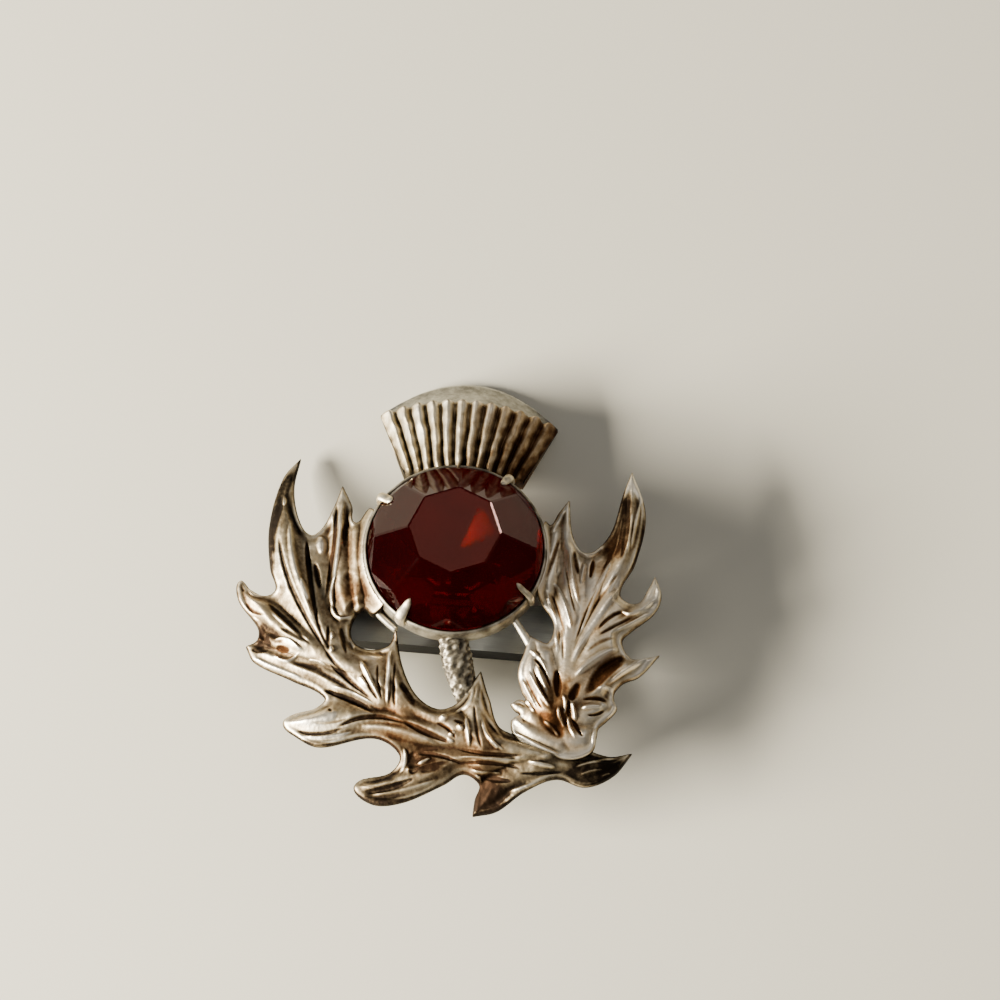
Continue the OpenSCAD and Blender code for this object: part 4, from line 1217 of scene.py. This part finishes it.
def steel(name, light, dark, rough, grain, down_shade=0.0):
    """Drawn steel. Faces that are turned to the lower side are darker by down_shade: painted shade."""
    m, shader = new_material(name)
    g = Graph(m)
    stretch = g.nodes.new("ShaderNodeMapping")
    stretch.inputs["Scale"].default_value = (0.06, 1.0, 1.0)
    g.links.new(g.place, stretch.inputs["Vector"])
    g.place = stretch.outputs["Vector"]
    lines = g.noise(grain, 4, 0.6)
    colour = g.ramp(lines, [(0.3, dark), (0.7, light)])
    if down_shade:
        facing = g.nodes.new("ShaderNodeSeparateXYZ")
        g.links.new(g.nodes.new("ShaderNodeNewGeometry").outputs["Normal"], facing.inputs[0])
        # painted shade on faces turned to the lower side
        down_shade_part = g.math("MULTIPLY", facing.outputs["Y"], -down_shade, clamp=True)
        black = g.ramp(lines, [(0.3, (0.02, 0.02, 0.02)), (0.7, (0.035, 0.035, 0.033))])
        colour = g.mix(down_shade_part, colour, black)
    g.links.new(colour, shader.inputs["Base Color"])
    shader.inputs["Metallic"].default_value = 1.0
    g.links.new(g.grey_ramp(lines, [(0.25, rough), (0.8, rough * 1.6)]), shader.inputs["Roughness"])
    g.links.new(g.bump(lines, 0.00003, 0.5), shader.inputs["Normal"])
    return m


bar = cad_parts["back_bar"]
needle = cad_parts["pin_needle"]
silver_material = silver()
for piece, material in (
    *((piece, silver_material) for piece in METAL_PIECES),
    (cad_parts["thistle_casting"], silver_material),
    (garnet, garnet_glass()),
    # the bar's last value paints shade on its turned-down faces
    (bar, steel("grey_steel", (0.42, 0.43, 0.40), (0.3, 0.3, 0.28), 0.5, 6000, 1.2)),
    (needle, steel("bright_steel", (0.7, 0.7, 0.7), (0.55, 0.55, 0.55), 0.18, 5000)),
):
    piece.data.materials.clear()
    piece.data.materials.append(material)
for piece in (bar, needle):
    bevel = piece.modifiers.new("soft_edges", "BEVEL")
    bevel.width = 0.06 * MM
    bevel.segments = 2
    bevel.limit_method = "ANGLE"

# Pale table top
FLOOR_HALF = 1.5
floor_mesh = bpy.data.meshes.new("floor")
corners = [(x * FLOOR_HALF, y * FLOOR_HALF, 0) for x, y in ((-1, -1), (1, -1), (1, 1), (-1, 1))]
floor_mesh.from_pydata(corners, [], [(0, 1, 2, 3)])
floor = bpy.data.objects.new("floor", floor_mesh)
bpy.context.scene.collection.objects.link(floor)
floor_material, floor_shader = new_material("pale_table")
floor_graph = Graph(floor_material)
floor_colour = floor_graph.ramp(
    floor_graph.noise(9, 3, 0.5), [(0.3, (0.80, 0.75, 0.605)), (0.7, (0.82, 0.77, 0.625))])
floor_graph.links.new(floor_colour, floor_shader.inputs["Base Color"])
floor_shader.inputs["Roughness"].default_value = 0.6
floor_mesh.materials.append(floor_material)

# Camera at the photo's angle, set out in the brooch's own frame and then leaned with it
TURN = math.radians(5.0)
ELEVATION = math.radians(67.0)
STONE_PIXELS = 175.0
IMAGE_PIXELS = 1000
PIXEL_MM = 2 * STONE_R / STONE_PIXELS
AIM_MM = np.array([4.092, 5.7425, 8.4])
DISTANCE_MM = 420.0
SENSOR_MM = 36.0
level_part = math.cos(ELEVATION)
sight = np.array([math.sin(TURN) * level_part, -math.cos(TURN) * level_part, math.sin(ELEVATION)])
eye_mm = AIM_MM + sight * DISTANCE_MM
right_mm = AIM_MM + np.array([math.cos(TURN), math.sin(TURN), 0.0])
aim, eye, right = (Vector(p) for p in to_world([AIM_MM, eye_mm, right_mm]))


def placed(place, side, back):
    """Matrix of something at that place that looks along -back, with side to its right."""
    turned = Matrix((side, back.cross(side), back)).transposed()
    return Matrix.Translation(place) @ turned.to_4x4()


camera_data = bpy.data.cameras.new("camera")
camera_data.sensor_width = SENSOR_MM
camera_data.lens = SENSOR_MM * DISTANCE_MM / (IMAGE_PIXELS * PIXEL_MM)
camera_data.clip_start = 0.01
camera = bpy.data.objects.new("camera", camera_data)
camera.matrix_world = placed(eye, (right - aim).normalized(), (eye - aim).normalized())
bpy.context.scene.collection.objects.link(camera)
bpy.context.scene.camera = camera


def area_light(name, place, size, power, colour, along=None):
    """Light that faces the brooch. Its long side lies along the given direction, or level."""
    data = bpy.data.lights.new(name, "AREA")
    data.shape = "RECTANGLE"
    data.size, data.size_y = size
    data.energy = power
    data.color = colour
    obj = bpy.data.objects.new(name, data)
    back = Vector(place).normalized()
    side = Vector(along) if along else Vector((0, 0, 1)).cross(back)
    obj.matrix_world = placed(place, (side - back * side.dot(back)).normalized(), back)
    bpy.context.scene.collection.objects.link(obj)
    return obj


# Low window on the left that is kept off the stone, and a weak sky for everything. The others light the
# stone alone: a dim ceiling that its table mirrors, a lamp behind it on the right, and the glints.
WARM_WHITE = (1.0, 0.95, 0.88)
window = area_light("window", (-0.435, -0.14, 0.16), (0.28, 0.12), 15.5, (1.0, 0.95, 0.85))
ceiling = area_light("ceiling", (0.0, 0.48, 0.77), (0.6, 0.5), 6.0, (1.0, 0.93, 0.86))
lamp = area_light("lamp", (0.37, 0.481, 0.305), (0.1, 0.1), 5.0, WARM_WHITE)
area_light("sky", (0.35, 0.25, 0.6), (0.5, 0.5), 0.7, WARM_WHITE)
# Small lights for the red flash in the stone: pixel of the picture where the light is seen, direction of
# its long side, size, power
GLINTS = [
    ((472.3, 534), (0.39, 0.82, 0.41), (0.0056, 0.0018), 1.0),
    ((473, 529), (0.3, 0.8, 0.5), (0.006, 0.003), 1.1),
    ((477.5, 518.5), (0.24, 0.79, 0.57), (0.0055, 0.0018), 1.3),
    ((480.4, 524), (0.24, 0.79, 0.57), (0.012, 0.007), 0.3),
]
GLINT_DISTANCE = 0.5


def refracted(way, normal, ratio):
    """Direction of a ray past a face. The ratio is the index before the face by the index behind it."""
    if way.dot(normal) > 0:
        normal = -normal
    cos_in = -way.dot(normal)
    cos_out = math.sqrt(1 - ratio * ratio * (1 - cos_in * cos_in))
    return (way * ratio + normal * (ratio * cos_in - cos_out)).normalized()


def seen_in_stone(pixel):
    """Place outside the stone that the pixel shows by way of one reflection inside the stone."""
    mesh = garnet.data
    tree = BVHTree.FromPolygons([v.co for v in mesh.vertices], [tuple(f.vertices) for f in mesh.polygons])
    across, down = ((at / IMAGE_PIXELS - 0.5) * SENSOR_MM for at in pixel)
    way = (camera.matrix_world.to_3x3() @ Vector((across, -down, -camera_data.lens))).normalized()
    place, normal = tree.ray_cast(eye, way)[:2]
    way = refracted(way, normal, 1 / STONE_INDEX)
    place, normal = tree.ray_cast(place + way * 0.0001 * MM, way)[:2]
    way = (way - normal * 2 * way.dot(normal)).normalized()
    place, normal = tree.ray_cast(place + way * 0.0001 * MM, way)[:2]
    return place + refracted(way, normal, STONE_INDEX) * GLINT_DISTANCE


stone_lights = [ceiling, lamp]
for number, (pixel, way, size, power) in enumerate(GLINTS):
    place = seen_in_stone(pixel)
    stone_lights.append(area_light(f"glint_{number}", place, size, power, WARM_WHITE, way))
for light in (window, *stone_lights):
    group = bpy.data.collections.new(light.name + "_stone")
    group.objects.link(garnet)
    light.light_linking.receiver_collection = group
    group.collection_objects[0].light_linking.link_state = "EXCLUDE" if light == window else "INCLUDE"

world = bpy.data.worlds.new("studio")
world.use_nodes = True
bpy.context.scene.world = world
world.node_tree.nodes["Background"].inputs["Color"].default_value = (0.93, 0.95, 1.0, 1)
world.node_tree.nodes["Background"].inputs["Strength"].default_value = 0.15
